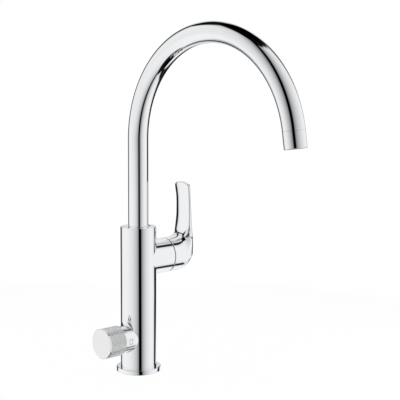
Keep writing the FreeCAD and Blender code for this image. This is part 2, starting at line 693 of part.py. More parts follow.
def aerator_insert():
    outer = TUBE_R - SLEEVE_WALL - FIT
    start = insert_start()
    nipple_r = HOSE_R - HOSE_WALL - 2 * FIT
    insert = OUTLET_AXIS.rod(outer, start, start + INSERT_L)
    insert = fuse(insert, OUTLET_AXIS.rod(nipple_r, start - NIPPLE_L, start))
    cuts = [OUTLET_AXIS.rod(INSERT_NOZZLE_D / 2, start - NIPPLE_L, start + INSERT_L)]
    across = OUTLET_AXIS.direction.cross(RIGHT)
    for index in range(INSERT_HOLES):
        angle = 2 * math.pi * index / INSERT_HOLES
        side = RIGHT * math.cos(angle) + across * math.sin(angle)
        place = side * (outer - INSERT_HOLE_INSET)
        cuts.append(OUTLET_AXIS.rod(INSERT_HOLE_D / 2, start, start + INSERT_L, place))
    return insert.cut(cuts)


# Mixer cartridge

def cartridge_seals():
    rings = []
    for place in CARTRIDGE_PORTS:
        outer = WATERWAY_R + PORT_SEAL_WALL - FIT
        end = CARTRIDGE_SEAT + PORT_SEAL_H
        rings.append(LEVER_AXIS.tube(outer, WATERWAY_R, CARTRIDGE_SEAT, end, place))
    return group(rings)


def cartridge_housing():
    bottom = CARTRIDGE_SEAT + FACE_GAP
    housing = LEVER_AXIS.rod(CARTRIDGE_R, bottom, HOUSING_END)
    cuts = [LEVER_AXIS.rod(HOUSING_BORE_R, FIXED_DISC_U - FACE_GAP, HOUSING_END)]
    for place in CARTRIDGE_PORTS:
        recess_r = WATERWAY_R + PORT_SEAL_WALL
        cuts.append(LEVER_AXIS.rod(recess_r, bottom, CARTRIDGE_SEAT + PORT_SEAL_H, place))
        cuts.append(LEVER_AXIS.rod(PORT_HOLE_D / 2, bottom, FIXED_DISC_U, place))
    return housing.cut(cuts)


def fixed_disc():
    end = FIXED_DISC_U + FIXED_DISC_T
    disc = LEVER_AXIS.rod(HOUSING_BORE_R - 2 * FIT, FIXED_DISC_U, end)
    return disc.cut([LEVER_AXIS.rod(PORT_HOLE_D / 2, FIXED_DISC_U, end, p) for p in CARTRIDGE_PORTS])


def moving_disc():
    disc = LEVER_AXIS.rod(HOUSING_BORE_R - MOVING_DISC_INSET, MOVING_DISC_U, CARRIER_U)
    low = LEVER_Z - MIXING_POCKET_FOOT
    high = LEVER_Z + MIXING_POCKET_TOP
    half = MIXING_POCKET_W / 2
    pocket_end = MOVING_DISC_U + MIXING_POCKET_DEPTH
    return disc.cut(box((MOVING_DISC_U, pocket_end), (-half, half), (low, high)))


def disc_carrier():
    carrier = LEVER_AXIS.rod(HOUSING_BORE_R - MOVING_DISC_INSET, CARRIER_U, CARRIER_END)
    return carrier.cut(LEVER_AXIS.rod(BALL_D / 2 + BALL_CLEAR, CARRIER_U, CARRIER_END))


def pivot_rod(radius, half_length):
    start = V(PIVOT_U, -half_length, LEVER_Z)
    return Part.makeCylinder(radius, 2 * half_length, start, BACK)


def turret():
    neck_end = TURRET_SHOULDER + TURRET_NECK_L
    flange = LEVER_AXIS.rod(HOUSING_BORE_R - RUN, TURRET_U, TURRET_SHOULDER)
    body = fuse(flange, LEVER_AXIS.rod(TURRET_NECK_D / 2, TURRET_SHOULDER, neck_end))
    half = STEM_W / 2 + TURRET_SLOT_CLEAR
    heights = (LEVER_Z - TURRET_SLOT_DOWN, LEVER_Z + TURRET_SLOT_UP)
    slot = box((TURRET_U, neck_end), (-half, half), heights)
    return body.cut([slot, pivot_rod(PIN_D / 2 + FIT, PIN_L / 2)])


def turret_pin():
    return pivot_rod(PIN_D / 2, PIN_L / 2)


def cartridge_collar():
    return LEVER_AXIS.tube(CARTRIDGE_R, TURRET_NECK_D / 2 + RUN, HOUSING_END, COLLAR_END)


def cartridge_nut():
    neck_r = DOME_BORE_D / 2 - FIT
    nut = LEVER_AXIS.rod(NUT_R, COLLAR_END, NUT_NECK_U)
    nut = fuse(nut, LEVER_AXIS.rod(neck_r, NUT_NECK_U, NUT_END))
    return nut.cut(LEVER_AXIS.rod(NUT_BORE_R, COLLAR_END, NUT_END))


def lever_ball(radius):
    """Sphere about the lever's pivot."""
    return Part.makeSphere(radius, LEVER_AXIS.at(PIVOT_U), UP, -90, 90, 360)


def lever_dome():
    apex = PIVOT_U + DOME_R
    cap = lever_ball(DOME_R).common(LEVER_AXIS.rod(2 * BOSS_R, BOSS_END, apex))
    skirt = LEVER_AXIS.rod(NUT_R, NUT_NECK_U + FACE_GAP, BOSS_END)
    return fuse(cap, skirt).cut(LEVER_AXIS.rod(DOME_BORE_D / 2, NUT_NECK_U, apex))


def lever_stem():
    half = STEM_W / 2
    bar = box((PIVOT_U, STEM_END), (-half, half), (LEVER_Z - half, LEVER_Z + half))
    neck = LEVER_AXIS.rod(STEM_NECK_D / 2, BALL_U, PIVOT_U)
    ball = Part.makeSphere(BALL_D / 2, LEVER_AXIS.at(BALL_U))
    stem = fuse(bar, pivot_rod(STEM_EYE_D / 2, half), neck, ball)
    return stem.cut(pivot_rod(PIN_D / 2 + RUN, half))


# Lever

def arc(first, middle, last):
    return Part.Arc(first, middle, last).toShape()


def paddle():
    """Upright blade of the lever: hollow inner face, flat back, arched top."""
    inner = CAP_END - PADDLE_T
    top = LEVER_Z + PADDLE_H
    # Seen from the side
    foot_in = V(inner - PADDLE_BOW, 0, LEVER_Z)
    hollow = V(inner - PADDLE_LEAN / 2, 0, LEVER_Z + PADDLE_H / 2)
    top_in = V(inner - PADDLE_BOW - PADDLE_LEAN, 0, top)
    top_out = V(CAP_END, 0, top)
    foot_out = V(CAP_END, 0, LEVER_Z)
    outline = [
        arc(foot_in, hollow, top_in),
        Part.makeLine(top_in, top_out),
        Part.makeLine(top_out, foot_out),
        Part.makeLine(foot_out, foot_in),
    ]
    side = Part.Face(Part.Wire(outline)).extrude(BACK * PADDLE_FOOT_W)
    side.translate(BACK * (-PADDLE_FOOT_W / 2))
    # Seen from the body
    corner_z = top - PADDLE_CROWN
    foot = PADDLE_FOOT_W / 2
    head = PADDLE_TOP_W / 2
    start = top_in.x
    left_foot = V(start, -foot, LEVER_Z)
    right_foot = V(start, foot, LEVER_Z)
    left_head = V(start, -head, corner_z)
    right_head = V(start, head, corner_z)
    outline = [
        Part.makeLine(left_foot, left_head),
        arc(left_head, V(start, 0, top), right_head),
        Part.makeLine(right_head, right_foot),
        Part.makeLine(right_foot, left_foot),
    ]
    front = Part.Face(Part.Wire(outline)).extrude(RIGHT * (CAP_END - start))
    corners = [
        edge for edge in front.Edges
        if abs(edge.CenterOfMass.z - corner_z) < 1e-6 and abs(edge.CenterOfMass.y) > head - 1e-6
    ]
    return side.common(front.makeFillet(PADDLE_CORNER, corners))


def round_each(shape, radii_of):
    """Round edges that each have their own radius at their start and at their end.

    radii_of gives the two radii of an edge, or None for an edge that stays sharp.
    """
    rows = []
    for number, edge in enumerate(shape.Edges, start=1):
        radii = radii_of(edge)
        if radii:
            rows.append((number, radii[0], radii[1]))
    document = FreeCAD.newDocument()
    base = document.addObject("Part::Feature", "base")
    base.Shape = shape
    fillet = document.addObject("Part::Fillet", "fillet")
    fillet.Base = base
    fillet.Edges = rows
    document.recompute()
    rounded = fillet.Shape.copy()
    FreeCAD.closeDocument(document.Name)
    return rounded


def paddle_foot_radii(edge):
    """Hollow roundings where the paddle rises out of the cap."""
    extent = edge.BoundBox
    if not LEVER_Z < edge.CenterOfMass.z < LEVER_Z + BOSS_R:
        return None
    if extent.YLength > PADDLE_FOOT_W / 2 and extent.XLength < PADDLE_BOW:
        return (PADDLE_FOOT_FILLET, PADDLE_FOOT_FILLET)
    if extent.XLength > PADDLE_T and extent.YLength < 1e-6:
        return (PADDLE_SIDE_FILLET, PADDLE_SIDE_FILLET)
    return None


def lever_back_radii(edge):
    """Rounding of the back, full at the foot of the cap and slight along the paddle."""
    if edge.BoundBox.XMin < CAP_END - 1e-4:
        return None
    if not is_circle(edge, BOSS_R):
        return (PADDLE_ROUND, PADDLE_ROUND)
    starts_low = edge.valueAt(edge.FirstParameter).z < edge.valueAt(edge.LastParameter).z
    return (CAP_ROUND, PADDLE_ROUND) if starts_low else (PADDLE_ROUND, CAP_ROUND)


def lever_handle():
    cap = LEVER_AXIS.rod(BOSS_R, RIM_U, CAP_END)
    cap.rotate(LEVER_AXIS.origin, RIGHT, 180)
    handle = fuse(cap, paddle())
    handle = round_each(handle, paddle_foot_radii)
    handle = round_each(handle, lever_back_radii)
    pocket_end = CAP_END - CAP_POCKET_FLOOR
    pocket = LEVER_AXIS.tube(BOSS_R - CAP_SHELL, CAP_HUB_D / 2, PIVOT_U, pocket_end)
    half = STEM_W / 2 + FIT
    socket = box((PIVOT_U, STEM_END + FACE_GAP), (-half, half), (LEVER_Z - half, LEVER_Z + half))
    screw = Axis(LEVER_AXIS.at(LEVER_SCREW_U), -UP)
    screw_hole = screw.rod(LEVER_SCREW_D / 2 + FIT, 0, CAP_HUB_D)
    plug_hole = screw.rod(LEVER_PLUG_D / 2 + FIT, CAP_HUB_D / 2, 2 * BOSS_R)
    return handle.cut([lever_ball(CAP_SPHERE_R), pocket, socket, screw_hole, plug_hole])


def lever_screw():
    tip = LEVER_AXIS.at(LEVER_SCREW_U, V(0, 0, -STEM_W / 2 - FACE_GAP))
    return grub_screw(LEVER_SCREW_D, tip, LEVER_SCREW_L, -UP)


def lever_plug():
    screw = Axis(LEVER_AXIS.at(LEVER_SCREW_U), -UP)
    end = BOSS_R - LEVER_PLUG_SINK
    return screw.rod(LEVER_PLUG_D / 2, end - LEVER_PLUG_T, end)


# Filter valve

def seat_seal():
    outer = CUP_R - 2 * FIT
    return FILTER_AXIS.tube(outer, outer - SEAT_SEAL_W, FILTER_SEAT, FILTER_FIXED_U)


def filter_disc(start, thickness, radius):
    end = start + thickness
    holes = []
    for side in (FILTER_HOLE_OFFSET, -FILTER_HOLE_OFFSET):
        holes.append(FILTER_AXIS.rod(FILTER_HOLE_D / 2, start, end, V(0, side, 0)))
    return FILTER_AXIS.rod(radius, start, end).cut(holes)


def filter_fixed_disc():
    return filter_disc(FILTER_FIXED_U, FILTER_FIXED_T, FILTER_DISC_D / 2 - FIT)


def filter_turning_disc():
    """Upper disc, a quarter turn from the fixed one while the valve is closed."""
    disc = filter_disc(FILTER_TURNING_U, FILTER_TURNING_T, FILTER_DISC_D / 2 - 2 * FIT)
    disc.rotate(FILTER_AXIS.origin, FILTER_AXIS.direction, 90)
    return disc


def valve_body():
    thread_start = CHAMBER_END + FACE_GAP
    body = fuse(
        FILTER_AXIS.rod(CUP_OUTER_R, FILTER_SEAT + CUP_LIFT, thread_start),
        FILTER_AXIS.rod(VALVE_R, thread_start, COLLAR_FACE),
        FILTER_AXIS.rod(VALVE_FLANGE_R, COLLAR_FACE, VALVE_FLANGE_END),
        FILTER_AXIS.hexagon(VALVE_HEX_FLATS, VALVE_FLANGE_END, VALVE_END),
    )
    half = WINDOW_W / 2
    window = box((-DRIVER_END, -DRIVER_U), (-half, half), (KNOB_Z - CHAMBER_R, KNOB_Z + CHAMBER_R))
    return body.cut([
        FILTER_AXIS.rod(CUP_R, FILTER_SEAT, CUP_FLOOR),
        FILTER_AXIS.rod(SPINDLE_BORE_R, CUP_FLOOR, VALVE_END),
        window,
    ])


def filter_spindle():
    half = SQUARE_W / 2
    square_start = SPINDLE_END - SQUARE_L
    driver = FILTER_AXIS.rod(FILTER_DISC_D / 2 - 2 * FIT, DRIVER_U, DRIVER_END)
    slot = DRIVER_SLOT_W / 2
    driver = driver.cut(box((-DRIVER_END, -DRIVER_U), (-CUP_R, CUP_R), (KNOB_Z - slot, KNOB_Z + slot)))
    bridge = FILTER_AXIS.rod(SPINDLE_R, DRIVER_U, square_start)
    square = box((-SPINDLE_END, -square_start), (-half, half), (KNOB_Z - half, KNOB_Z + half))
    spindle = fuse(driver, bridge, square)
    seal_u = COLLAR_FACE - SPINDLE_SEAL_BACK
    half_seal = SPINDLE_SEAL_D / 2 + SEAL_SQUEEZE
    start = CLIP_U - FACE_GAP / 2
    end = CLIP_U + CLIP_T + FACE_GAP / 2
    screw_start = SCREW_HEAD_U - KNOB_SCREW_L - FACE_GAP
    return spindle.cut([
        FILTER_AXIS.tube(CUP_R, SPINDLE_R - SPINDLE_SEAL_D, seal_u - half_seal, seal_u + half_seal),
        FILTER_AXIS.tube(CUP_R, SPINDLE_R - CLIP_GROOVE_DEPTH, start, end),
        FILTER_AXIS.rod(KNOB_SCREW_D / 2 + FIT, screw_start, SPINDLE_END),
    ])


def spindle_seal():
    return FILTER_AXIS.ring_seal(SPINDLE_R - SPINDLE_SEAL_D, SPINDLE_BORE_R, COLLAR_FACE - SPINDLE_SEAL_BACK)


def spindle_clip():
    inner = SPINDLE_R - CLIP_GROOVE_DEPTH + FIT
    ring = FILTER_AXIS.tube(inner + CLIP_W, inner, CLIP_U, CLIP_U + CLIP_T)
    half = CLIP_MOUTH / 2
    mouth = box((-CLIP_U - CLIP_T, -CLIP_U), (-half, half), (KNOB_Z - SPINDLE_D, KNOB_Z))
    return ring.cut(mouth)


# Filter knob

def fluted_rod(radius, start, end):
    """Rod with straight flutes all round it."""
    points = []
    for index in range(2 * FLUTES + 1):
        angle = math.pi * (index % (2 * FLUTES)) / FLUTES
        reach = radius - FLUTE_DEPTH * (index % 2)
        points.append(FILTER_AXIS.at(start, V(0, reach * math.cos(angle), reach * math.sin(angle))))
    return Part.Face(Part.makePolygon(points)).extrude(FILTER_AXIS.direction * (end - start))


def filter_knob():
    bevel_start = KNOB_FACE - KNOB_BEVEL
    grip = fluted_rod(KNOB_R, KNOB_REAR, bevel_start)
    band = FILTER_AXIS.rod(KNOB_R, bevel_start - KNOB_BEVEL, bevel_start)
    bevel = FILTER_AXIS.cone(KNOB_R, KNOB_R - KNOB_BEVEL, bevel_start, KNOB_FACE)
    knob = fuse(grip, band, bevel)
    ledge_r = FACE_R - FACE_LEDGE
    return knob.cut([
        FILTER_AXIS.rod(KNOB_BORE_R, KNOB_REAR, WEB_U),
        FILTER_AXIS.rod(KNOB_SCREW_D / 2 + 2 * FIT, WEB_U, SCREW_HEAD_U),
        FILTER_AXIS.rod(ledge_r, SCREW_HEAD_U, FACE_U),
        FILTER_AXIS.rod(FACE_R + FIT, FACE_U, KNOB_FACE),
    ])


def knob_face():
    return FILTER_AXIS.rod(FACE_R, FACE_U, KNOB_FACE)


def knob_carrier():
    start = WEB_U - CARRIER_BUSH_L
    half = SQUARE_W / 2 + FIT
    bush = FILTER_AXIS.rod(CARRIER_BUSH_D / 2, start, WEB_U)
    square_end = SPINDLE_END + FACE_GAP
    square = box((-square_end, -start), (-half, half), (KNOB_Z - half, KNOB_Z + half))
    shaft_end = SPINDLE_END - SQUARE_L + FACE_GAP
    return bush.cut([
        square,
        FILTER_AXIS.rod(SPINDLE_R + FIT, start, max(start, shaft_end) + FACE_GAP),
        FILTER_AXIS.rod(KNOB_SCREW_D / 2 + 2 * FIT, start, WEB_U),
    ])


def knob_screw():
    head_end = SCREW_HEAD_U + KNOB_SCREW_HEAD_H
    head = FILTER_AXIS.rod(KNOB_SCREW_HEAD_D / 2, SCREW_HEAD_U, head_end)
    shank = FILTER_AXIS.rod(KNOB_SCREW_D / 2, SCREW_HEAD_U - KNOB_SCREW_L, SCREW_HEAD_U)
    socket = FILTER_AXIS.hexagon(DRIVE_SOCKET_D, head_end - DRIVE_SOCKET_L, head_end)
    return fuse(head, shank).cut(socket)


PIECES = {
    "base_ring": base_ring,
    "base_seal": base_seal,
    "fixing_stud": fixing_stud,
    "clamp_washer": clamp_washer,
    "clamp_plate": clamp_plate,
    "clamp_nut": clamp_nut,
    "lower_body": lower_body,
    "upper_body": upper_body,
    "body_seal": body_seal,
    "waterway_seals": waterway_seals,
    "body_lock_screw": lock_screw,
    "filter_riser": filter_riser,
    "spout_slide_bushes": slide_bushes,
    "spout_stop_screw": stop_screw,
    "spout_tube": spout_tube,
    "spout_foot": spout_foot,
    "spout_seals": spout_seals,
    "riser_seal": riser_seal,
    "filter_hose": filter_hose,
    "outlet_sleeve": outlet_sleeve,
    "outlet_seal": outlet_seal,
    "aerator_insert": aerator_insert,
    "cartridge_seals": cartridge_seals,
    "cartridge_housing": cartridge_housing,
    "mixer_fixed_disc": fixed_disc,
    "mixer_moving_disc": moving_disc,
    "disc_carrier": disc_carrier,
    "cartridge_turret": turret,
    "turret_pin": turret_pin,
    "cartridge_collar": cartridge_collar,
    "cartridge_nut": cartridge_nut,
    "lever_dome": lever_dome,
    "lever_stem": lever_stem,
    "lever_handle": lever_handle,
    "lever_screw": lever_screw,
    "lever_plug": lever_plug,
    "filter_seat_seal": seat_seal,
    "filter_fixed_disc": filter_fixed_disc,
    "filter_turning_disc": filter_turning_disc,
    "filter_valve_body": valve_body,
    "filter_spindle": filter_spindle,
    "spindle_seal": spindle_seal,
    "spindle_clip": spindle_clip,
    "filter_knob": filter_knob,
    "filter_knob_face": knob_face,
    "knob_carrier": knob_carrier,
    "knob_screw": knob_screw,
}

os.makedirs("parts", exist_ok=True)
for name, make in PIECES.items():
    shape = make()
    shape.exportStep("parts/" + name + ".step")
    state = "valid" if shape.isValid() else "not valid"
    print(name, len(shape.Solids), "solids", round(shape.Volume, 1), "mm3", state)
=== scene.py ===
"""Looks of the filter kitchen mixer tap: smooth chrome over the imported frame, and the studio round it."""

import json
import logging
import math
from contextlib import contextmanager
from dataclasses import dataclass
from enum import Enum
from typing import Any, Callable, Dict, Iterator, List, Optional, Sequence, Tuple

import bmesh
import bpy
import numpy as np
from mathutils import Matrix, Quaternion, Vector

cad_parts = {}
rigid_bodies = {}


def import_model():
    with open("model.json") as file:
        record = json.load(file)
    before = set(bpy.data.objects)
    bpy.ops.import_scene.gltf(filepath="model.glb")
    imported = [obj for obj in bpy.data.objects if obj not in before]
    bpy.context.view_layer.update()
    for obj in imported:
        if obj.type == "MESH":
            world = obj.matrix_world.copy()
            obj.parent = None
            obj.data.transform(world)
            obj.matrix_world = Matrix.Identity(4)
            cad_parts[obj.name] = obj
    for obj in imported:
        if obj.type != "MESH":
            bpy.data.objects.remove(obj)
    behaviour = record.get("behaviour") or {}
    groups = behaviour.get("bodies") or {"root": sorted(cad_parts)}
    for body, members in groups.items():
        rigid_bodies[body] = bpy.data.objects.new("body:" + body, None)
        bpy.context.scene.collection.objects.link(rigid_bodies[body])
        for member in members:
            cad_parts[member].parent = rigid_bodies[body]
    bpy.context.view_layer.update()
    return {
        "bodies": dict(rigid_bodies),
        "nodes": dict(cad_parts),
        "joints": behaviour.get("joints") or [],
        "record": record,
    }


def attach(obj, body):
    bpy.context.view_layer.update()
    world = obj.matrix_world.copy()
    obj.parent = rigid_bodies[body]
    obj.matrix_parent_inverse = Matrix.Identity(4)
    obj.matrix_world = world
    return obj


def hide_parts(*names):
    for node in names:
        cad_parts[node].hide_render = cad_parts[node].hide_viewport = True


LOG = logging.getLogger("tap")
MM = 0.001
NEAR = 1e-3
TINY = 1e-9
UP = Vector((0.0, 0.0, 1.0))

Row = Tuple[float, float]
Colour = Tuple[float, float, float]


# Shader nodes

class Signal:
    """One socket of a shader, with arithmetic that adds Math nodes behind it."""

    def __init__(self, board: "Board", socket: bpy.types.NodeSocket) -> None:
        """Hold a socket and the board that it is on."""
        self.board = board
        self.socket = socket

    def _math(self, operation: str, *values: Any) -> "Signal":
        """Result of a new Math node on signals or numbers."""
        return self.board.node("ShaderNodeMath", {"operation": operation}, dict(enumerate(values)))

    def __add__(self, other: Any) -> "Signal":
        """Sum."""
        return self._math("ADD", self, other)

    __radd__ = __add__

    def __mul__(self, other: Any) -> "Signal":
        """Product."""
        return self._math("MULTIPLY", self, other)

    __rmul__ = __mul__

    def __sub__(self, other: Any) -> "Signal":
        """Difference."""
        return self._math("SUBTRACT", self, other)

    def __rsub__(self, other: Any) -> "Signal":
        """Difference from a number."""
        return self._math("SUBTRACT", other, self)

    def __truediv__(self, other: Any) -> "Signal":
        """Quotient."""
        return self._math("DIVIDE", self, other)

    def at_least(self, other: Any) -> "Signal":
        """The larger of two values."""
        return self._math("MAXIMUM", self, other)

    def size(self) -> "Signal":
        """Value without its sign."""
        return self._math("ABSOLUTE", self)

    def exp(self) -> "Signal":
        """Exponential."""
        return self._math("EXPONENT", self)

    def turn_from(self, other: "Signal") -> "Signal":
        """Angle of the point (other, self) about the origin, in radians."""
        return self._math("ARCTAN2", self, other)

    def step(self, low: float, high: float) -> "Signal":
        """Smooth rise.

        Args:
            low: where it is 0.
            high: where it is 1.

        Returns:
            The rise.
        """
        settings = {"interpolation_type": "SMOOTHSTEP"}
        limits = {"Value": self, "From Min": low, "From Max": high}
        return self.board.node("ShaderNodeMapRange", settings, limits)


class Board:
    """A node tree that is being wired."""

    def __init__(self, tree: bpy.types.NodeTree) -> None:
        """Start from an empty tree."""
        self.tree = tree
        tree.nodes.clear()

    def node(
        self,
        kind: str,
        settings: Optional[Dict[str, Any]] = None,
        values: Optional[Dict[Any, Any]] = None,
        output: Any = 0,
    ) -> Signal:
        """Add a node, with its settings first and its sockets after them.

        Args:
            kind: the node's type.
            settings: properties of the node.
            values: a signal or a constant for each named or numbered socket.
            output: the socket that the signal comes from.

        Returns:
            The node's output.
        """
        node = self.tree.nodes.new(kind)
        for name, value in (settings or {}).items():
            setattr(node, name, value)
        for name, value in (values or {}).items():
            if isinstance(value, Signal):
                self.tree.links.new(value.socket, node.inputs[name])
            else:
                node.inputs[name].default_value = value
        outputs = node.outputs
        return Signal(self, outputs[output]) if len(outputs) else Signal(self, node.inputs[0])

    def place(self) -> Signal:
        """Object coordinates of the shaded point, in metres."""
        return self.node("ShaderNodeTexCoord", output="Object")

    def noise(self, grain_mm: float, detail: float = 2.0) -> Signal:
        """Soft noise about 0.5, by the size of its patches and the number of finer layers."""
        values = {"Vector": self.place(), "Scale": 1.0 / (grain_mm * MM), "Detail": detail}
        return self.node("ShaderNodeTexNoise", None, values, "Fac")

    def blend(self, factor: Signal, first: Colour, second: Colour) -> Signal:
        """Mix of two colours, the first where the factor is 0 and the second where it is 1."""
        values = {"Factor": factor, 6: (*first, 1.0), 7: (*second, 1.0)}
        return self.node("ShaderNodeMix", {"data_type": "RGBA"}, values, 2)

    def bump(self, height: Signal, depth_mm: float, strength: float = 1.0) -> Signal:
        """Normal of a relief, by its height from 0 to 1, its real depth and the share that shows."""
        values = {"Height": height, "Distance": depth_mm * MM, "Strength": strength}
        return self.node("ShaderNodeBump", None, values)

    def surface(self, **sockets: Any) -> None:
        """End the tree in a Principled surface with the given sockets, underscores for spaces."""
        values = {name.replace("_", " "): value for name, value in sockets.items()}
        shader = self.node("ShaderNodeBsdfPrincipled", None, values)
        self.node("ShaderNodeOutputMaterial", None, {"Surface": shader})


def new_material(name: str) -> Tuple[bpy.types.Material, Board]:
    """Make a material.

    Args:
        name: its name.

    Returns:
        The material and its empty board.
    """
    material = bpy.data.materials.new(name)
    material.use_nodes = True
    return material, Board(material.node_tree)


# Finishes

@dataclass(frozen=True)
class Finish:
    """A named surface finish."""

    name: str

    def material(self) -> bpy.types.Material:
        """Make the finish's material."""
        material, board = new_material(self.name)
        self.wire(board)
        return material

    def wire(self, board: Board) -> None:
        """Wire the finish's nodes on an empty board."""
        raise NotImplementedError


@dataclass(frozen=True)
class MirrorChrome(Finish):
    """Chrome plate over polished brass: a mirror with faint wiping marks."""

    bright: Colour = (0.935, 0.952, 0.97)
    dim: Colour = (0.9, 0.917, 0.935)
    gloss: float = 0.012
    haze: float = 0.02
    haze_from: Row = (0.45, 0.75)
    grit: float = 0.006
    smear: Row = (14.0, 3.0)
    grain: Row = (0.35, 1.0)

    def wire(self, board: Board) -> None:
        """Vary the gloss and the tone by broad smears and a fine grain.

        Args:
            board: the finish's empty board.
        """
        smear = board.noise(*self.smear)
        grain = board.noise(*self.grain)
        rough = smear.step(*self.haze_from) * self.haze + grain * self.grit + self.gloss
        colour = board.blend(smear, self.bright, self.dim)
        board.surface(Base_Color=colour, Metallic=1.0, Roughness=rough)


@dataclass(frozen=True)
class SatinChrome(Finish):
    """Satin chrome of the knob's grip: bright lands, painted shade darkening the grooves and a fine grain.
    """

    axis_z: float = 37.8
    groove_shade_r: float = 15.78
    land_r: float = 16.0
    bright: Colour = (0.86, 0.865, 0.87)
    # dim is painted shade for the groove bottoms, standing in for the dark that the grooves show.
    dim: Colour = (0.2, 0.2, 0.205)
    ragged: float = 0.05
    gloss: float = 0.14
    rough: Row = (0.08, 0.05)
    smear: Row = (9.0, 2.0)
    grain: Row = (0.25, 2.0)

    def wire(self, board: Board) -> None:
        """Keep the lands bright and paint shade into the grooves, by the distance from the knob's axis.

        Args:
            board: the finish's empty board.
        """
        grain = board.noise(*self.grain)
        smear = board.noise(*self.smear)
        middle = (0.0, 0.0, -self.axis_z * MM)
        move = {"Vector": board.place(), "Location": middle, "Scale": (0.0, 1.0, 1.0)}
        spoke = board.node("ShaderNodeMapping", {"vector_type": "POINT"}, move)
        radius = board.node("ShaderNodeVectorMath", {"operation": "LENGTH"}, {0: spoke}, "Value")
        # Painted shade: the colour darkens from the lands towards the groove bottoms, by the radius.
        land_vs_groove_shade = (radius + (grain - 0.5) * self.ragged * MM).step(self.groove_shade_r * MM, self.land_r * MM)
        rough = smear * self.rough[0] + grain * self.rough[1] + self.gloss
        colour = board.blend(land_vs_groove_shade, self.dim, self.bright)
        board.surface(Base_Color=colour, Metallic=1.0, Roughness=rough)


@dataclass(frozen=True)
class TurnedChrome(Finish):
    """Satin chrome of the knob's face, with the fine rings that turning leaves."""

    centre: Tuple[float, float, float] = (0.0, 0.0, 0.0)
    pitch: float = 0.22
    unit_pitch: float = 0.314
    depth: float = 0.002
    shown: float = 0.25
    bright: Colour = (0.93, 0.93, 0.935)
    dim: Colour = (0.86, 0.865, 0.87)
    gloss: float = 0.22
    rough: float = 0.08
    grain: Row = (0.3, 2.0)

    def wire(self, board: Board) -> None:
        """Put rings about the knob's axis on a satin metal.

        Args:
            board: the finish's empty board.
        """
        move = {"Vector": board.place(), "Location": tuple(-value * MM for value in self.centre)}
        place = board.node("ShaderNodeMapping", {"vector_type": "POINT"}, move)
        settings = {"wave_type": "RINGS", "rings_direction": "X", "wave_profile": "SIN"}
        scale = self.unit_pitch / (self.pitch * MM)
        values = {"Vector": place, "Scale": scale, "Distortion": 0.4, "Detail": 1.0}
        rings = board.node("ShaderNodeTexWave", settings, values, "Fac")
        grain = board.noise(*self.grain)
        colour = board.blend(rings * 0.5 + grain * 0.5, self.bright, self.dim)
        rough = grain * self.rough + self.gloss
        normal = board.bump(rings, self.depth, self.shown)
        board.surface(Base_Color=colour, Metallic=1.0, Roughness=rough, Normal=normal)


@dataclass(frozen=True)
class Moulded(Finish):
    """Plastic, rubber or ceramic, with soft patches and a fine skin."""

    bright: Colour = (0.8, 0.8, 0.8)
    dim: Colour = (0.7, 0.7, 0.7)
    gloss: float = 0.4
    grain: float = 0.3
    relief: float = 0.01
    relief_shown: float = 0.5
    patch: float = 7.0
    layers: Row = (3.0, 2.0)
    tone: Row = (0.6, 0.4)
    rough: Row = (0.1, 0.08)
    metal: float = 0.0

    def wire(self, board: Board) -> None:
        """Vary tone and gloss by the patches and the skin, and add the skin's relief.

        Args:
            board: the finish's empty board.
        """
        patch = board.noise(self.patch, self.layers[0])
        skin = board.noise(self.grain, self.layers[1])
        colour = board.blend(patch * self.tone[0] + skin * self.tone[1], self.bright, self.dim)
        rough = patch * self.rough[0] + skin * self.rough[1] + self.gloss
        normal = board.bump(skin, self.relief, self.relief_shown)
        board.surface(Base_Color=colour, Metallic=self.metal, Roughness=rough, Normal=normal)


@dataclass(frozen=True)
class MachinedMetal(Moulded):
    """Bare machined metal, with stains for patches and fine tool marks for a skin."""

    grain: float = 0.2
    relief_shown: float = 0.4
    patch: float = 6.0
    layers: Row = (4.0, 1.0)
    tone: Row = (0.7, 0.3)
    rough: Row = (0.15, 0.1)
    metal: float = 1.0


class Slot(Enum):
    """Material slots of the record, each with its finish."""

    POLISHED_CHROME = MirrorChrome("polished_chrome")
    SATIN_CHROME = SatinChrome("satin_chrome")
    FACE_CHROME = TurnedChrome("face_chrome", (-52.45, 0.0, 37.8))
    BARE_BRASS = MachinedMetal("bare_brass", (0.78, 0.6, 0.3), (0.62, 0.45, 0.2), 0.22)
    STAINLESS_STEEL = MachinedMetal("stainless_steel", (0.66, 0.66, 0.65), (0.5, 0.5, 0.49), 0.24)
    BLACK_RUBBER = Moulded("black_rubber", (0.045, 0.045, 0.047), (0.025, 0.025, 0.027), 0.6, 0.4, 0.02)
    WHITE_ACETAL = Moulded("white_acetal", (0.84, 0.84, 0.82), (0.76, 0.76, 0.74), 0.35)
    CLEAR_HOSE = Moulded("clear_hose", (0.86, 0.87, 0.88), (0.78, 0.8, 0.82), 0.3)
    GREY_PLASTIC = Moulded("grey_plastic", (0.56, 0.57, 0.58), (0.48, 0.49, 0.5), 0.42)
    WHITE_CERAMIC = Moulded("white_ceramic", (0.92, 0.91, 0.88), (0.86, 0.85, 0.82), 0.12, 0.15, 0.004)

    @property
    def slot(self) -> str:
        """Name of the slot in the record."""
        return self.value.name


class Wardrobe:
    """The materials, made once each."""

    def __init__(self) -> None:
        """Make the material of every slot."""
        self.materials = {slot.slot: slot.value.material() for slot in Slot}
        self.ink = Moulded("etched_mark", (0.3, 0.3, 0.31), (0.2, 0.2, 0.21), 0.45, 0.12).material()

    def dress(self, obj: bpy.types.Object, slot: str) -> None:
        """Give an object the material of one of the record's slots."""
        obj.data.materials.clear()
        obj.data.materials.append(self.materials[slot])


# Mesh tools

def smoothstep(low: float, high: float, value: Any) -> Any:
    """Smooth rise from 0 at low to 1 at high, of a number or an array."""
    share = np.clip((value - low) / (high - low), 0.0, 1.0)
    return share * share * (3.0 - 2.0 * share)


def deselect() -> None:
    """Leave nothing selected, so that the next operator acts on new work only."""
    if bpy.context.object and bpy.context.object.mode != "OBJECT":
        bpy.ops.object.mode_set(mode="OBJECT")
    bpy.ops.object.select_all(action="DESELECT")


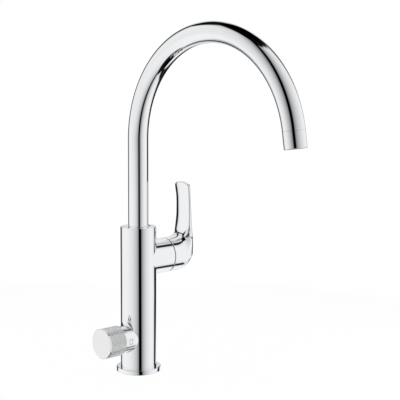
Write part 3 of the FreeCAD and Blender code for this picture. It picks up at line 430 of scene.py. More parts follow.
class Workpiece:
    """A new mesh on the bench, shaped by operators. All its sizes are in millimetres."""

    def __init__(self, obj: bpy.types.Object) -> None:
        """Take an object onto the bench."""
        self.obj = obj

    @classmethod
    def circle(cls, name: str, radius: float, height: float, sides: int) -> "Workpiece":
        """Open circle about the Z axis.

        Args:
            name: the piece's name.
            radius: its radius.
            height: its height.
            sides: its number of corners.

        Returns:
            The new piece.
        """
        deselect()
        bpy.ops.mesh.primitive_circle_add(
            vertices=sides, radius=radius * MM, fill_type="NOTHING", location=(0, 0, height * MM)
        )
        piece = cls(bpy.context.object)
        piece.obj.name = name
        piece.settle()
        return piece

    @classmethod
    def from_mesh(cls, name: str, points: Sequence[Vector], faces: Sequence[Sequence[int]]) -> "Workpiece":
        """Piece from points and faces.

        Args:
            name: the piece's name.
            points: its corners.
            faces: corner numbers of each face, counter-clockwise from outside.

        Returns:
            The new piece.
        """
        deselect()
        mesh = bpy.data.meshes.new(name)
        mesh.from_pydata([tuple(value * MM for value in point) for point in points], [], faces)
        obj = bpy.data.objects.new(name, mesh)
        bpy.context.collection.objects.link(obj)
        return cls(obj)

    def take(self) -> None:
        """Make this the one selected and active object."""
        deselect()
        self.obj.select_set(True)
        bpy.context.view_layer.objects.active = self.obj

    def settle(self) -> None:
        """Put the object's own place into its mesh."""
        self.take()
        bpy.ops.object.transform_apply(location=True, rotation=True, scale=True)

    def move_to(self, place: Matrix) -> None:
        """Put the piece at a place given in millimetres, and that place into its mesh."""
        self.obj.matrix_world = place
        self.settle()

    @contextmanager
    def editing(self, mode: str = "EDGE") -> Iterator[None]:
        """Edit mode for a while, with nothing selected.

        Args:
            mode: VERT, EDGE or FACE selection.
        """
        self.take()
        bpy.ops.object.mode_set(mode="EDIT")
        bpy.ops.mesh.select_mode(type=mode)
        bpy.ops.mesh.select_all(action="DESELECT")
        yield
        bpy.ops.object.mode_set(mode="OBJECT")

    def pick(self, kind: str, test: Callable[[Vector], bool]) -> None:
        """Select what lies in a place, in edit mode.

        Args:
            kind: verts, edges or faces.
            test: true for a corner that belongs, in millimetres.
        """
        mesh = bmesh.from_edit_mesh(self.obj.data)
        inside = {vert.index for vert in mesh.verts if test(vert.co / MM)}
        for element in getattr(mesh, kind):
            corners = [element] if kind == "verts" else element.verts
            element.select_set(all(vert.index in inside for vert in corners))
        bmesh.update_edit_mesh(self.obj.data)

    def pick_loop(self, radius: float, height: float) -> None:
        """Select the loop of a radius and a height about the Z axis, in edit mode."""
        self.pick("edges", lambda p: abs(p.z - height) < NEAR and abs(math.hypot(p.x, p.y) - radius) < NEAR)

    @staticmethod
    def draw(rows: Sequence[Row], along: Vector = UP, height: float = 0.0) -> None:
        """Extrude the selected loop through further radii and lengths of an axis, in edit mode.

        Args:
            rows: radius and length of each loop, the first being the selected one.
            along: the axis, which is upright or level along X.
            height: where the axis starts.
        """
        for (radius, length), (new_radius, new_length) in zip(rows, rows[1:]):
            shift = along * ((new_length - length) * MM)
            bpy.ops.mesh.extrude_edges_move(TRANSFORM_OT_translate={"value": tuple(shift)})
            if abs(new_radius - radius) > TINY:
                scale = [1.0 if part else new_radius / radius for part in along]
                centre = (UP * height + along * new_length) * MM
                bpy.ops.transform.resize(value=scale, center_override=centre)

    def round_loop(self, radius: float, height: float, width: float, segments: int = 5) -> None:
        """Round an edge about the Z axis, in edit mode.

        Args:
            radius: the edge's radius.
            height: its height.
            width: how far the rounding reaches.
            segments: its number of steps.
        """
        bpy.ops.mesh.select_all(action="DESELECT")
        self.pick_loop(radius, height)
        bpy.ops.mesh.bevel(offset=width * MM, segments=segments, profile=0.5, affect="EDGES")

    def close(self) -> None:
        """Merge what coincides and turn the faces outwards, in edit mode."""
        bpy.ops.mesh.select_all(action="SELECT")
        bpy.ops.mesh.remove_doubles(threshold=NEAR * MM)
        bpy.ops.mesh.normals_make_consistent(inside=False)

    def modify(self, kind: str, **settings: Any) -> None:
        """Add a modifier and apply it.

        Args:
            kind: the modifier's type.
            settings: its properties.
        """
        self.take()
        modifier = self.obj.modifiers.new(kind.lower(), kind)
        for name, value in settings.items():
            setattr(modifier, name, value)
        bpy.ops.object.modifier_apply(modifier=modifier.name)

    def smooth(self, angle: float = 40.0) -> None:
        """Shade smooth, with flat faces kept flat.

        Args:
            angle: the sharpest edge that is smoothed, in degrees.
        """
        self.take()
        bpy.ops.object.shade_smooth_by_angle(angle=math.radians(angle))
        self.modify("WEIGHTED_NORMAL", keep_sharp=True, weight=100)

    def set_normals(self, normals: Sequence[Vector]) -> None:
        """Give the first corners exact normals, and leave the others as they are.

        Args:
            normals: one direction for each of the first corners.
        """
        self.take()
        bpy.ops.object.shade_smooth_by_angle(angle=math.radians(40.0))
        rest = len(self.obj.data.vertices) - len(normals)
        exact = [tuple(normal) for normal in normals] + [(0.0, 0.0, 0.0)] * rest
        self.obj.data.normals_split_custom_set_from_vertices(exact)

    def join(self, other: "Workpiece") -> None:
        """Take another piece into this one.

        Args:
            other: the piece that ends here.
        """
        deselect()
        other.obj.select_set(True)
        self.obj.select_set(True)
        bpy.context.view_layer.objects.active = self.obj
        bpy.ops.object.join()


def turned(name: str, rows: Sequence[Row], rounds: Sequence[Tuple[float, float, float]] = (),
           sides: int = 160) -> Workpiece:
    """Closed ring turned about the Z axis.

    Args:
        name: the piece's name.
        rows: radius and height of its corners, in order round its section.
        rounds: radius, height and width of the edges that are rounded.
        sides: number of corners round the axis.

    Returns:
        The new piece.
    """
    piece = Workpiece.circle(name, rows[0][0], rows[0][1], sides)
    with piece.editing():
        bpy.ops.mesh.select_all(action="SELECT")
        piece.draw(list(rows) + [rows[0]])
        piece.close()
        for radius, height, width in rounds:
            piece.round_loop(radius, height, width)
    piece.smooth()
    return piece


# The tap's pieces

@dataclass
class SubAssembly:
    """A part of the tap that rides on one body."""

    wardrobe: Wardrobe
    body: str = "body"

    def place(self, piece: Workpiece, slot: Slot, *nodes: str) -> None:
        """Dress a finished piece and put it in the frame.

        Args:
            piece: the piece.
            slot: its finish.
            nodes: the CAD nodes that it stands for.
        """
        self.wardrobe.dress(piece.obj, slot.slot)
        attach(piece.obj, self.body)
        if nodes:
            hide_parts(*nodes)
        LOG.info("%s: %d faces", piece.obj.name, len(piece.obj.data.polygons))


@dataclass
class BaseRing(SubAssembly):
    """Ring on the worktop that the body stands in."""

    radius: float = 24.2
    bore: float = 17.25
    height: float = 5.0
    edge: float = 0.7
    foot: float = 0.25

    def build(self) -> None:
        """Turn the ring and round its edges."""
        rows = [(self.bore, 0.0), (self.radius, 0.0), (self.radius, self.height), (self.bore, self.height)]
        rounds = [(self.radius, self.height, self.edge), (self.radius, 0.0, self.foot)]
        self.place(turned("ring_skin", rows, rounds, 192), Slot.POLISHED_CHROME, "base_ring")


@dataclass
class BranchedBarrel(SubAssembly):
    """Upright barrel with one round branch at its side, which flows into it by a hollow rounding."""

    name: str = "barrel_skin"
    node: str = "barrel"
    radius: float = 19.5
    low: float = 0.0
    high: float = 100.0
    branch_z: float = 50.0
    branch_r: float = 15.0
    fillet: float = 1.0
    top_fillet: float = 1.0
    foot_fillet: float = 1.0
    sector: float = 0.78
    side: int = 1
    ends: Tuple[Row, ...] = ()
    top: Tuple[Row, ...] = ()
    foot: Tuple[Row, ...] = ()
    spokes: int = 208
    arc_steps: int = 8
    wall_steps: int = 26
    spread: float = 1.3

    def rounding(self, turn: float) -> float:
        """Radius of the rounding at an angle about the branch's axis, from straight up."""
        top, foot = (smoothstep(self.sector, 1.0, level) for level in (math.cos(turn), -math.cos(turn)))
        return self.fillet + (self.top_fillet - self.fillet) * top + (self.foot_fillet - self.fillet) * foot

    def ball(self, turn: float) -> Vector:
        """Centre of the rounding.

        Args:
            turn: angle about the branch's axis, from straight up.

        Returns:
            The centre of the ball that touches branch and barrel there.
        """
        fillet = self.rounding(turn)
        reach = self.branch_r + fillet
        across = reach * math.sin(turn)
        out = math.sqrt((self.radius + fillet) ** 2 - across ** 2)
        return Vector((out, across, self.branch_z + reach * math.cos(turn)))

    def rim(self, turn: float) -> Tuple[float, float]:
        """Where a spoke ends on the unrolled barrel.

        Args:
            turn: the spoke's angle from straight up, -pi to pi.

        Returns:
            Arc length from the branch's side, and height.
        """
        half = math.pi * self.radius
        part = abs(turn) / (math.pi / 4)
        sign = math.copysign(1.0, turn)
        if part <= 1.0:
            return sign * half * part, self.high
        if part <= 3.0:
            return sign * half, self.high + (self.low - self.high) * (part - 1.0) / 2
        return sign * half * (4.0 - part), self.low

    def spoke(self, turn: float) -> List[Tuple[Vector, Vector]]:
        """Points and normals from the branch's end to the barrel's edge.

        Args:
            turn: the spoke's angle about the branch's axis, from straight up.

        Returns:
            Point and normal of each row.
        """
        outward = Vector((0.0, math.sin(turn), math.cos(turn)))
        axis = Vector((0.0, 0.0, self.branch_z))
        ball = self.ball(turn)
        rows = []
        end = self.ends[-1]
        for share in (0.0, 0.5):
            length = end[1] + (ball.x - end[1]) * share
            rows.append((axis + outward * self.branch_r + Vector((length, 0, 0)), outward))
        on_barrel = Vector((ball.x, ball.y, 0.0)).normalized()
        for step in range(self.arc_steps + 1):
            spoke = (-outward).slerp(-on_barrel, step / self.arc_steps)
            rows.append((ball + spoke * self.rounding(turn), -spoke))
        length = self.radius * math.atan2(ball.y, ball.x)
        edge, height = self.rim(turn)
        for step in range(1, self.wall_steps + 1):
            share = (step / self.wall_steps) ** self.spread
            angle = (length + (edge - length) * share) / self.radius
            normal = Vector((math.cos(angle), math.sin(angle), 0.0))
            point = normal * self.radius
            point.z = ball.z + (height - ball.z) * share
            rows.append((point, normal))
        return rows

    def skin(self) -> Tuple[Workpiece, List[Vector]]:
        """Lay the barrel's wall and its branch as one grid.

        Returns:
            The open skin, and the exact normal of each of its corners.
        """
        count = self.spokes
        eighth = count // 8
        flip = Matrix.Diagonal((self.side, self.side, 1.0))
        points: List[Vector] = []
        normals: List[Vector] = []
        numbers: List[List[int]] = []
        for index in range(count):
            turn = 2 * math.pi * (index if index <= count // 2 else index - count) / count
            row = []
            for step, (point, normal) in enumerate(self.spoke(turn)):
                far = step == self.arc_steps + self.wall_steps + 2
                if far and count // 2 < index and eighth <= count - index <= 3 * eighth:
                    row.append(numbers[count - index][-1])
                    continue
                row.append(len(points))
                points.append(flip @ point)
                normals.append(flip @ normal)
            numbers.append(row)
        faces = []
        for index in range(count):
            one, two = numbers[index], numbers[(index + 1) % count]
            for step in range(len(one) - 1):
                faces.append((one[step], two[step], two[step + 1], one[step + 1]))
        return Workpiece.from_mesh(self.name, points, faces), normals

    def build(self) -> None:
        """Close the skin's open ends, set its normals and place it."""
        piece, normals = self.skin()
        with piece.editing():
            for rows in (self.top, self.foot):
                bpy.ops.mesh.select_all(action="DESELECT")
                piece.pick_loop(*rows[0])
                piece.draw(rows)
            bpy.ops.mesh.select_all(action="DESELECT")
            start = self.side * self.ends[-1][1]
            reach = self.branch_r + NEAR
            piece.pick(
                "edges", lambda p: abs(p.x - start) < NEAR and math.hypot(p.y, p.z - self.branch_z) < reach
            )
            piece.draw(self.ends[::-1], Vector((self.side, 0.0, 0.0)), self.branch_z)
        piece.set_normals(normals)
        self.place(piece, Slot.POLISHED_CHROME, self.node)


@dataclass
class LowerBody(BranchedBarrel):
    """Lower body with the collar of the filter valve."""

    name: str = "lower_body_skin"
    node: str = "lower_body"
    low: float = 5.0
    high: float = 57.6
    branch_z: float = 37.8
    branch_r: float = 14.7
    fillet: float = 0.4
    top_fillet: float = 4.8
    foot_fillet: float = 1.2
    side: int = -1
    ends: Tuple[Row, ...] = ((10.6, 29.3), (14.4, 29.3), (14.55, 29.26), (14.66, 29.15), (14.7, 29.0))
    top: Tuple[Row, ...] = ((19.5, 57.6), (19.46, 57.65), (16.2, 57.65))
    foot: Tuple[Row, ...] = ((19.5, 5.0), (17.2, 5.0))


@dataclass
class UpperBody(BranchedBarrel):
    """Upper body with the boss that carries the lever."""

    name: str = "upper_body_skin"
    node: str = "upper_body"
    low: float = 57.78
    high: float = 159.35
    branch_z: float = 123.6
    branch_r: float = 19.25
    fillet: float = 1.0
    ends: Tuple[Row, ...] = ((15.6, 37.55), (18.85, 37.55), (19.05, 37.15), (19.25, 36.69))
    top: Tuple[Row, ...] = (
        (19.5, 159.35), (19.46, 159.45), (19.35, 159.5), (11.02, 159.5), (11.02, 150.0),
    )
    foot: Tuple[Row, ...] = ((19.5, 57.78), (19.46, 57.73), (16.2, 57.73))


@dataclass
class Spout(SubAssembly):
    """C-shaped swivel tube with the sleeve at its end."""

    body: str = "spout"
    radius: float = 11.0
    wall: float = 1.0
    start: float = 151.0
    bend_z: float = 254.3
    bend_r: float = 111.3
    sweep: float = 171.0
    sleeve: float = 16.5
    sleeve_wall: float = 1.4
    gap: float = 0.1
    edges: Tuple[float, float, float] = (0.08, 0.5, 0.2)
    sides: int = 112
    rise_steps: int = 20
    bend_steps: int = 170

    def outlet(self) -> Matrix:
        """Place of the outlet's axis, which is the Z axis of the pieces on it."""
        sweep = math.radians(self.sweep)
        forward = self.bend_r * (math.cos(sweep) - 1)
        height = self.bend_z + self.bend_r * math.sin(sweep)
        return Matrix.Translation(Vector((0.0, forward, height)) * MM) @ Matrix.Rotation(sweep, 4, "X")

    def build(self) -> None:
        """Build the tube and the sleeve."""
        tube = Workpiece.circle("spout_skin", self.radius, self.start, self.sides)
        with tube.editing():
            bpy.ops.mesh.select_all(action="SELECT")
            rise = self.bend_z - self.start
            steps = range(self.rise_steps + 1)
            tube.draw([(self.radius, self.start + rise * step / self.rise_steps) for step in steps])
            bpy.ops.mesh.spin(
                steps=self.bend_steps,
                angle=math.radians(self.sweep),
                center=(0.0, -self.bend_r * MM, self.bend_z * MM),
                axis=(-1.0, 0.0, 0.0),
            )
        tube.modify("SOLIDIFY", thickness=self.wall * MM, offset=-1.0, use_rim=True)
        with tube.editing():
            tube.close()
        tube.smooth()
        self.place(tube, Slot.POLISHED_CHROME, "spout_tube")
        inner = self.radius - self.sleeve_wall
        outer = self.radius
        rows = [(inner, self.gap), (outer, self.gap), (outer, self.sleeve), (inner, self.sleeve)]
        rounds = [(*row, width) for row, width in zip(rows[1:], self.edges)]
        sleeve = turned("sleeve_skin", rows, rounds, self.sides)
        sleeve.move_to(self.outlet())
        self.place(sleeve, Slot.POLISHED_CHROME, "outlet_sleeve")


def joined(first: np.ndarray, second: np.ndarray, round_r: Any) -> np.ndarray:
    """Distance to two forms together.

    Args:
        first: distance to one form.
        second: distance to the other.
        round_r: radius of the hollow rounding where they meet.

    Returns:
        The distance to both as one.
    """
    one = np.maximum(round_r - first, 0.0)
    two = np.maximum(round_r - second, 0.0)
    return np.maximum(round_r, np.minimum(first, second)) - np.hypot(one, two)


def shared(first: np.ndarray, second: np.ndarray, round_r: Any) -> np.ndarray:
    """Distance to what two forms share.

    Args:
        first: distance to one form.
        second: distance to the other.
        round_r: radius of the edge where they meet.

    Returns:
        The distance to the shared part.
    """
    one = np.maximum(round_r + first, 0.0)
    two = np.maximum(round_r + second, 0.0)
    return np.minimum(-round_r, np.maximum(first, second)) + np.hypot(one, two)


@dataclass
class Lever(SubAssembly):
    """Lever: a round cap over the boss, with an upright paddle that flows out of its end."""

    body: str = "lever"
    axis_z: float = 123.6
    radius: float = 19.25
    rim: float = 38.3
    end: float = 70.2
    pivot: float = 28.15
    hollow: float = 21.31
    hollow_end: float = 10.0
    hollow_rows: int = 9
    rim_edge: Tuple[Row, ...] = ((0.0, 0.25), (0.03, 0.1), (0.1, 0.0))
    height: float = 80.6
    half: float = 12.7
    flare: float = 5.0
    flare_h: float = 16.0
    crown: float = 3.2
    corner: float = 3.0
    ramp: float = 4.4
    ramp_far: float = 1.0
    ramp_side: float = 12.0
    ramp_upright: float = 0.75
    ramp_from: float = 45.0
    ramp_span: float = 18.0
    side_fillet: float = 11.0
    foot_fillet: float = 3.0
    fillet_side: Row = (4.0, 13.0)
    face: Tuple[float, float, float] = (61.4, 64.2, 62.8)
    face_r: Row = (22.0, 80.0)
    face_side: float = 16.0
    face_flat: float = 0.4
    face_foot: Row = (22.0, 45.0)
    face_top: Row = (60.0, 82.0)
    face_rise: float = 1.0
    face_edge: float = 1.2
    foot_edge: float = 5.0
    foot_side: float = 8.0
    foot_top: Row = (20.0, 33.0)
    back_r: float = 40.0
    back_lean: float = 2.4
    back_from: float = 22.0
    back_edge: float = 1.2
    end_round: float = 8.0
    end_top: float = 26.0
    taper_from: float = 52.0
    taper_r: float = 60.0
    rough_spare: float = 4.0
    rough_round: float = 9.0
    rough_top: float = 8.0
    voxel: float = 0.42
    passes: int = 3
    fit_steps: int = 12
    fit_reach: float = 0.8
    fit_slope: float = 0.05

    def cap(self, out: np.ndarray, across: np.ndarray, up: np.ndarray) -> np.ndarray:
        """Distance to the round cap, which rises in a ramp to the paddle and tapers to its end.

        Args:
            out: distance from the body's middle along the lever's axis.
            across: distance to the side.
            up: height above the axis.

        Returns:
            One distance for each place.
        """
        cap = np.hypot(across, up) - self.radius
        taper = np.maximum(out - self.taper_from, 0.0) ** 2 / (2 * self.taper_r)
        upright = smoothstep(0.0, self.ramp_upright, up / np.maximum(cap + self.radius, 1e-6))
        lift = (self.ramp + self.ramp_far * smoothstep(0.0, self.ramp_side, across)) * upright
        return cap - lift * np.clip((out - self.ramp_from) / self.ramp_span, 0.0, 1.0) ** 2 + taper

    def paddle(self, out: np.ndarray, across: np.ndarray, up: np.ndarray) -> np.ndarray:
        """Distance to the upright paddle and all that lies behind its crowned face.

        Args:
            out: distance from the body's middle along the lever's axis.
            across: distance to the side.
            up: height above the axis.

        Returns:
            One distance for each place.
        """
        half = self.half + self.flare * np.exp(-np.maximum(up, 0.0) / self.flare_h)
        top = up - self.height + self.crown * (across / self.half) ** 2
        outline = shared(np.abs(across) - half, top, self.corner)
        share = np.clip(up / self.height, 0.0, 1.0)
        low, mid, high = self.face
        face = low + share * (4 * mid - 3 * low - high) + share ** 2 * (2 * low + 2 * high - 4 * mid)
        round_r = np.where(across > 0.0, self.face_r[0], self.face_r[1])
        bulge = round_r - np.sqrt(round_r ** 2 - np.minimum(np.abs(across), self.face_side) ** 2)
        full = smoothstep(*self.face_foot, up) - smoothstep(*self.face_top, up)
        bulge *= 1.0 - self.face_flat + self.face_flat * full
        near_foot = smoothstep(0.0, self.foot_side, -across) * (1.0 - smoothstep(*self.foot_top, up))
        edge = self.face_edge + self.foot_edge * near_foot
        return shared(outline, face - self.face_rise + bulge - out, edge)

    def form(self, points: np.ndarray) -> np.ndarray:
        """Signed distance to the lever's outer skin, about.

        Args:
            points: places, a row each, from the lever's axis at the body's middle.

        Returns:
            One distance for each point, less than 0 inside.
        """
        out, across, up = points[:, 0], points[:, 1], points[:, 2]
        paddle = np.maximum(self.paddle(out, across, up), -up)
        spread = smoothstep(*self.fillet_side, -across)
        fillet = self.foot_fillet + (self.side_fillet - self.foot_fillet) * spread
        whole = joined(self.cap(out, across, up), paddle, fillet)
        middle = self.end - self.back_r - self.back_lean * smoothstep(self.back_from, self.height, up)
        back = np.sqrt((out - middle) ** 2 + across ** 2 + np.minimum(up, 0.0) ** 2) - self.back_r
        low = 1.0 - smoothstep(0.0, self.end_top, up)
        return shared(whole, back, self.back_edge + self.end_round * low)

    def slope(self, points: np.ndarray) -> np.ndarray:
        """Gradient of the form.

        Args:
            points: places, as the form takes them.

        Returns:
            One direction for each point.
        """
        step = 1e-3
        columns = []
        for axis in range(3):
            shift = np.zeros(3)
            shift[axis] = step
            columns.append((self.form(points + shift) - self.form(points - shift)) / (2 * step))
        return np.stack(columns, axis=1)

    def blank(self) -> Workpiece:
        """Rough lever: a rod and a slab in one even mesh.

        Returns:
            The rough piece.
        """
        deselect()
        length = self.end - self.rim + self.rough_spare
        bpy.ops.mesh.primitive_cylinder_add(
            vertices=96,
            radius=self.radius * MM,
            depth=length * MM,
            location=((self.end - length / 2) * MM, 0.0, self.axis_z * MM),
            rotation=(0.0, math.pi / 2, 0.0),
        )
        rod = Workpiece(bpy.context.object)
        rod.obj.name = "lever_skin"
        rod.settle()
        with rod.editing():
            rod.pick("edges", lambda p: p.x > self.end - NEAR and p.z < self.axis_z + self.rough_top)
            bpy.ops.mesh.bevel(offset=self.rough_round * MM, segments=6, affect="EDGES")
        deselect()
        low = self.face[2]
        bpy.ops.mesh.primitive_cube_add(
            size=1.0, location=((low + self.end) / 2 * MM, 0.0, (self.axis_z + self.height / 2) * MM)
        )
        slab = Workpiece(bpy.context.object)
        slab.obj.scale = ((self.end - low) * MM, 2 * self.half * MM, self.height * MM)
        slab.settle()
        rod.join(slab)
        rod.modify("REMESH", mode="VOXEL", voxel_size=self.voxel * MM)
        return rod

    def fit(self, piece: Workpiece) -> None:
        """Bring every corner of a rough piece onto the form.

        Args:
            piece: the rough piece.
        """
        mesh = piece.obj.data
        places = np.empty(len(mesh.vertices) * 3)
        mesh.vertices.foreach_get("co", places)
        places = places.reshape(-1, 3) / MM - np.array([0.0, 0.0, self.axis_z])
        for _ in range(self.fit_steps):
            slope = self.slope(places)
            size = np.maximum((slope ** 2).sum(axis=1), self.fit_slope)
            move = -(self.form(places) / size)[:, None] * slope
            reach = np.linalg.norm(move, axis=1, keepdims=True)
            places += move * np.minimum(1.0, self.fit_reach / np.maximum(reach, TINY))
        places += np.array([0.0, 0.0, self.axis_z])
        mesh.vertices.foreach_set("co", (places * MM).ravel())
        mesh.update()

    def build(self) -> None:
        """Build the lever, open at the rim, with the hollow that slides over the dome."""
        piece = self.blank()
        self.fit(piece)
        for _ in range(self.passes):
            with piece.editing("VERT"):
                bpy.ops.mesh.select_all(action="SELECT")
                bpy.ops.mesh.vertices_smooth(factor=0.5, repeat=2)
            self.fit(piece)
        rows = [(self.radius - inward, self.rim + along) for inward, along in self.rim_edge]
        cut = rows[0][1]
        with piece.editing():
            bpy.ops.mesh.select_all(action="SELECT")
            bpy.ops.mesh.bisect(
                plane_co=(cut * MM, 0.0, 0.0), plane_no=(1.0, 0.0, 0.0), clear_inner=True, clear_outer=False
            )
        self.true_rim(piece, cut)
        places = np.array([tuple(vert.co / MM) for vert in piece.obj.data.vertices])
        normals = self.slope(places - np.array([0.0, 0.0, self.axis_z]))
        normals /= np.maximum(np.linalg.norm(normals, axis=1, keepdims=True), TINY)
        first = math.acos((self.rim - self.pivot) / self.hollow)
        for angle in np.linspace(first, math.radians(self.hollow_end), self.hollow_rows).tolist():
            rows.append((self.hollow * math.sin(angle), self.pivot + self.hollow * math.cos(angle)))
        with piece.editing():
            piece.pick("edges", lambda p: abs(p.x - cut) < NEAR)
            piece.draw(rows, Vector((1.0, 0.0, 0.0)), self.axis_z)
            bpy.ops.mesh.edge_face_add()
        piece.set_normals([Vector(normal) for normal in normals])
        self.place(piece, Slot.POLISHED_CHROME, "lever_handle")

    def true_rim(self, piece: Workpiece, cut: float) -> None:
        """Bring the cut's corners exactly to the cap's radius.

        Args:
            piece: the lever.
            cut: place of the cut along the lever's axis.
        """
        for vert in piece.obj.data.vertices:
            if abs(vert.co.x / MM - cut) < NEAR:
                across = Vector((0.0, vert.co.y, vert.co.z - self.axis_z * MM))
                across = across.normalized() * self.radius * MM
                vert.co = (cut * MM, across.y, across.z + self.axis_z * MM)


@dataclass
class FilterKnob(SubAssembly):
    """Knob of the filter valve: fluted grip, bevelled front and a plain face."""

    body: str = "knob"
    axis_z: float = 37.8
    radius: float = 16.05
    bore: float = 12.55
    rear: float = 29.6
    front: float = 52.45
    bevel: float = 0.25
    band: float = 2.4
    dome: float = 1.0
    flutes: int = 96
    flute_sides: int = 8
    depth: float = 0.3
    lip: Row = (0.25, 0.2)
    seam: Row = (0.6, 0.1)
    rim_edges: Tuple[float, float, float] = (0.1, 0.08, 0.04)
    face_r: float = 15.75
    face_t: float = 1.2
    face_edge: float = 0.1
    face_steps: int = 12
    pole: float = 1e-4
    sides: int = 192

    def seat(self, piece: Workpiece, slot: Slot, *nodes: str) -> None:
        """Turn a piece from the Z axis onto the knob's axis, and place it.

        Args:
            piece: the piece.
            slot: its finish.
            nodes: the CAD nodes that it stands for.
        """
        axis = Matrix.Translation((0.0, 0.0, self.axis_z * MM))
        piece.move_to(axis @ Matrix.Rotation(-math.pi / 2, 4, "Y"))
        self.place(piece, slot, *nodes)

    def grip(self) -> Workpiece:
        """Fluted sleeve of the grip.

        Returns:
            The sleeve about the Z axis.
        """
        around = self.flute_sides
        foot = self.rear + self.lip[1]
        piece = Workpiece.circle("knob_skin", self.radius, foot, self.flutes * around)
        with piece.editing("VERT"):
            for place in range(1, around // 2 + 1):
                bpy.ops.mesh.select_all(action="DESELECT")
                mesh = bmesh.from_edit_mesh(piece.obj.data)
                for number, vert in enumerate(mesh.verts):
                    vert.select_set(number % around in (place, around - place))
                bmesh.update_edit_mesh(piece.obj.data)
                sink = self.depth * max(place - 2, 0) / 2
                factor = 1.0 - sink / self.radius
                bpy.ops.transform.resize(value=(factor, factor, 1.0), center_override=UP * foot * MM)
        end = self.front - self.band
        with piece.editing():
            bpy.ops.mesh.select_all(action="SELECT")
            radius = self.radius
            seam = end + self.seam[1]
            rows = [
                (radius, foot), (radius, end), (radius - self.seam[0], seam), (self.bore, seam),
                (self.bore, self.rear), (radius - self.lip[0], self.rear), (radius, foot),
            ]
            piece.draw(rows)
            piece.close()
        piece.smooth(50.0)
        return piece

    def build(self) -> None:
        """Build the grip, the plain rim at its front, and the domed face in that."""
        self.seat(self.grip(), Slot.SATIN_CHROME, "filter_knob")
        low = self.front - self.band
        brow = self.front - self.dome
        edge = self.radius - self.bevel
        back = brow - self.face_t
        corners = [(self.radius, low), (self.radius, brow - self.bevel), (edge, brow)]
        rows = [(self.bore, low), *corners, (edge, back), (self.bore, back)]
        rounds = [(*corner, width) for corner, width in zip(corners, self.rim_edges)]
        self.seat(turned("knob_rim", rows, rounds, self.sides), Slot.POLISHED_CHROME)
        rows = [(self.pole, back), (self.face_r, back)]
        for step in range(self.face_steps + 1):
            share = 1.0 - step / self.face_steps
            rows.append((max(self.face_r * share, self.pole), self.front - self.dome * share ** 2))
        face = turned("knob_face_skin", rows, [(self.face_r, brow, self.face_edge)], self.sides)
        self.seat(face, Slot.FACE_CHROME, "filter_knob_face")


@dataclass
class Marks(SubAssembly):
    """Small etched signs: a water drop over the collar, and an index on the collar."""

    body_r: float = 19.5
    drop_turn: float = -160.3
    drop_z: float = 61.9
    drop_half: Tuple[float, float] = (2.1, 3.0)
    collar_r: float = 14.7
    collar_z: float = 37.8
    index_x: float = -22.45
    index_half: Tuple[float, float] = (2.2, 2.8)
    drop_line: float = 0.8
    index_line: float = 0.45
    lift: float = 0.03
    drop_sharp: float = 1.5
    drop_full: float = 0.77
    frame_power: int = 12
    steps: int = 72

    def drop(self, turn: float) -> Tuple[float, float]:
        """Outline of a drop of half-width and half-height 1.

        Args:
            turn: angle from its tip.

        Returns:
            Place across and up.
        """
        return math.sin(turn) * math.sin(turn / 2) ** self.drop_sharp / self.drop_full, math.cos(turn)

    def frame(self, turn: float) -> Tuple[float, float]:
        """Outline of a rounded frame of half-width and half-height 1.

        Args:
            turn: angle from its top.

        Returns:
            Place across and up.
        """
        across, up = math.sin(turn), math.cos(turn)
        size = (across ** self.frame_power + up ** self.frame_power) ** (1 / self.frame_power)
        return across / size, up / size

    def band(self, name: str, shape: Callable[[float], Tuple[float, float]], half: Tuple[float, float],
             line: float, onto: Callable[[float, float], Vector]) -> None:
        """Lay a line along an outline on a round surface.

        Args:
            name: the mark's name.
            shape: outline of half-width and half-height 1.
            half: the mark's real half-width and half-height.
            line: width of its line.
            onto: place on the surface for a place on the unrolled mark.
        """
        count = self.steps
        points = []
        for step in range(count):
            across, up = shape(2 * math.pi * (step + 0.5) / count)
            points.append(onto(across * half[0], up * half[1]))
            points.append(onto(across * (half[0] - line), up * (half[1] - line)))
        faces = []
        for step in range(count):
            one, two = 2 * step, 2 * ((step + 1) % count)
            faces.append((one, two, two + 1, one + 1))
        mark = Workpiece.from_mesh(name, points, faces)
        mark.modify("SOLIDIFY", thickness=2 * self.lift * MM, offset=0.0, use_rim=True)
        with mark.editing():
            mark.close()
        mark.obj.data.materials.append(self.wardrobe.ink)
        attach(mark.obj, self.body)
        LOG.info("%s: %d faces", name, len(mark.obj.data.polygons))

    def on_body(self, across: float, up: float) -> Vector:
        """Place on the upper body for a place on the drop's sheet."""
        turn = math.radians(self.drop_turn) + across / self.body_r
        return Vector((self.body_r * math.cos(turn), self.body_r * math.sin(turn), self.drop_z + up))

    def on_collar(self, across: float, up: float) -> Vector:
        """Place on the collar for a place on the index's sheet.

        Args:
            across: distance along the collar.
            up: distance round it.

        Returns:
            The place.
        """
        turn = up / self.collar_r
        spoke = Vector((0.0, -math.cos(turn), math.sin(turn))) * self.collar_r
        return Vector((self.index_x + across, 0.0, self.collar_z)) + spoke

    def build(self) -> None:
        """Lay both marks."""
        self.band("drop_mark", self.drop, self.drop_half, self.drop_line, self.on_body)
        self.band("index_mark", self.frame, self.index_half, self.index_line, self.on_collar)


@dataclass
class InnerParts:
    """Pieces inside the tap and under the worktop, which keep their CAD meshes."""

    wardrobe: Wardrobe
    frame: Dict[str, Any]

    def dress(self) -> None:
        """Give every CAD node the material of its slot in the record."""
        for row in self.frame["record"]["subparts"]:
            self.wardrobe.dress(self.frame["nodes"][row["node"]], row["material_slot"])


# Studio

@dataclass(frozen=True)
class Gap:
    """Upright dark gap in the tent's cloth, by its angle from the camera to the right."""

    turn: float
    half: float
    soft: float
    dark: float
    lean: float = 0.0
    narrow: float = 0.0
    shade: float = 0.0


@dataclass(frozen=True)
class Hole:
    """Round dark opening in the tent, by its angle from the camera and its height."""

    turn: float
    rise: float
    inner: float
    outer: float
    dark: float


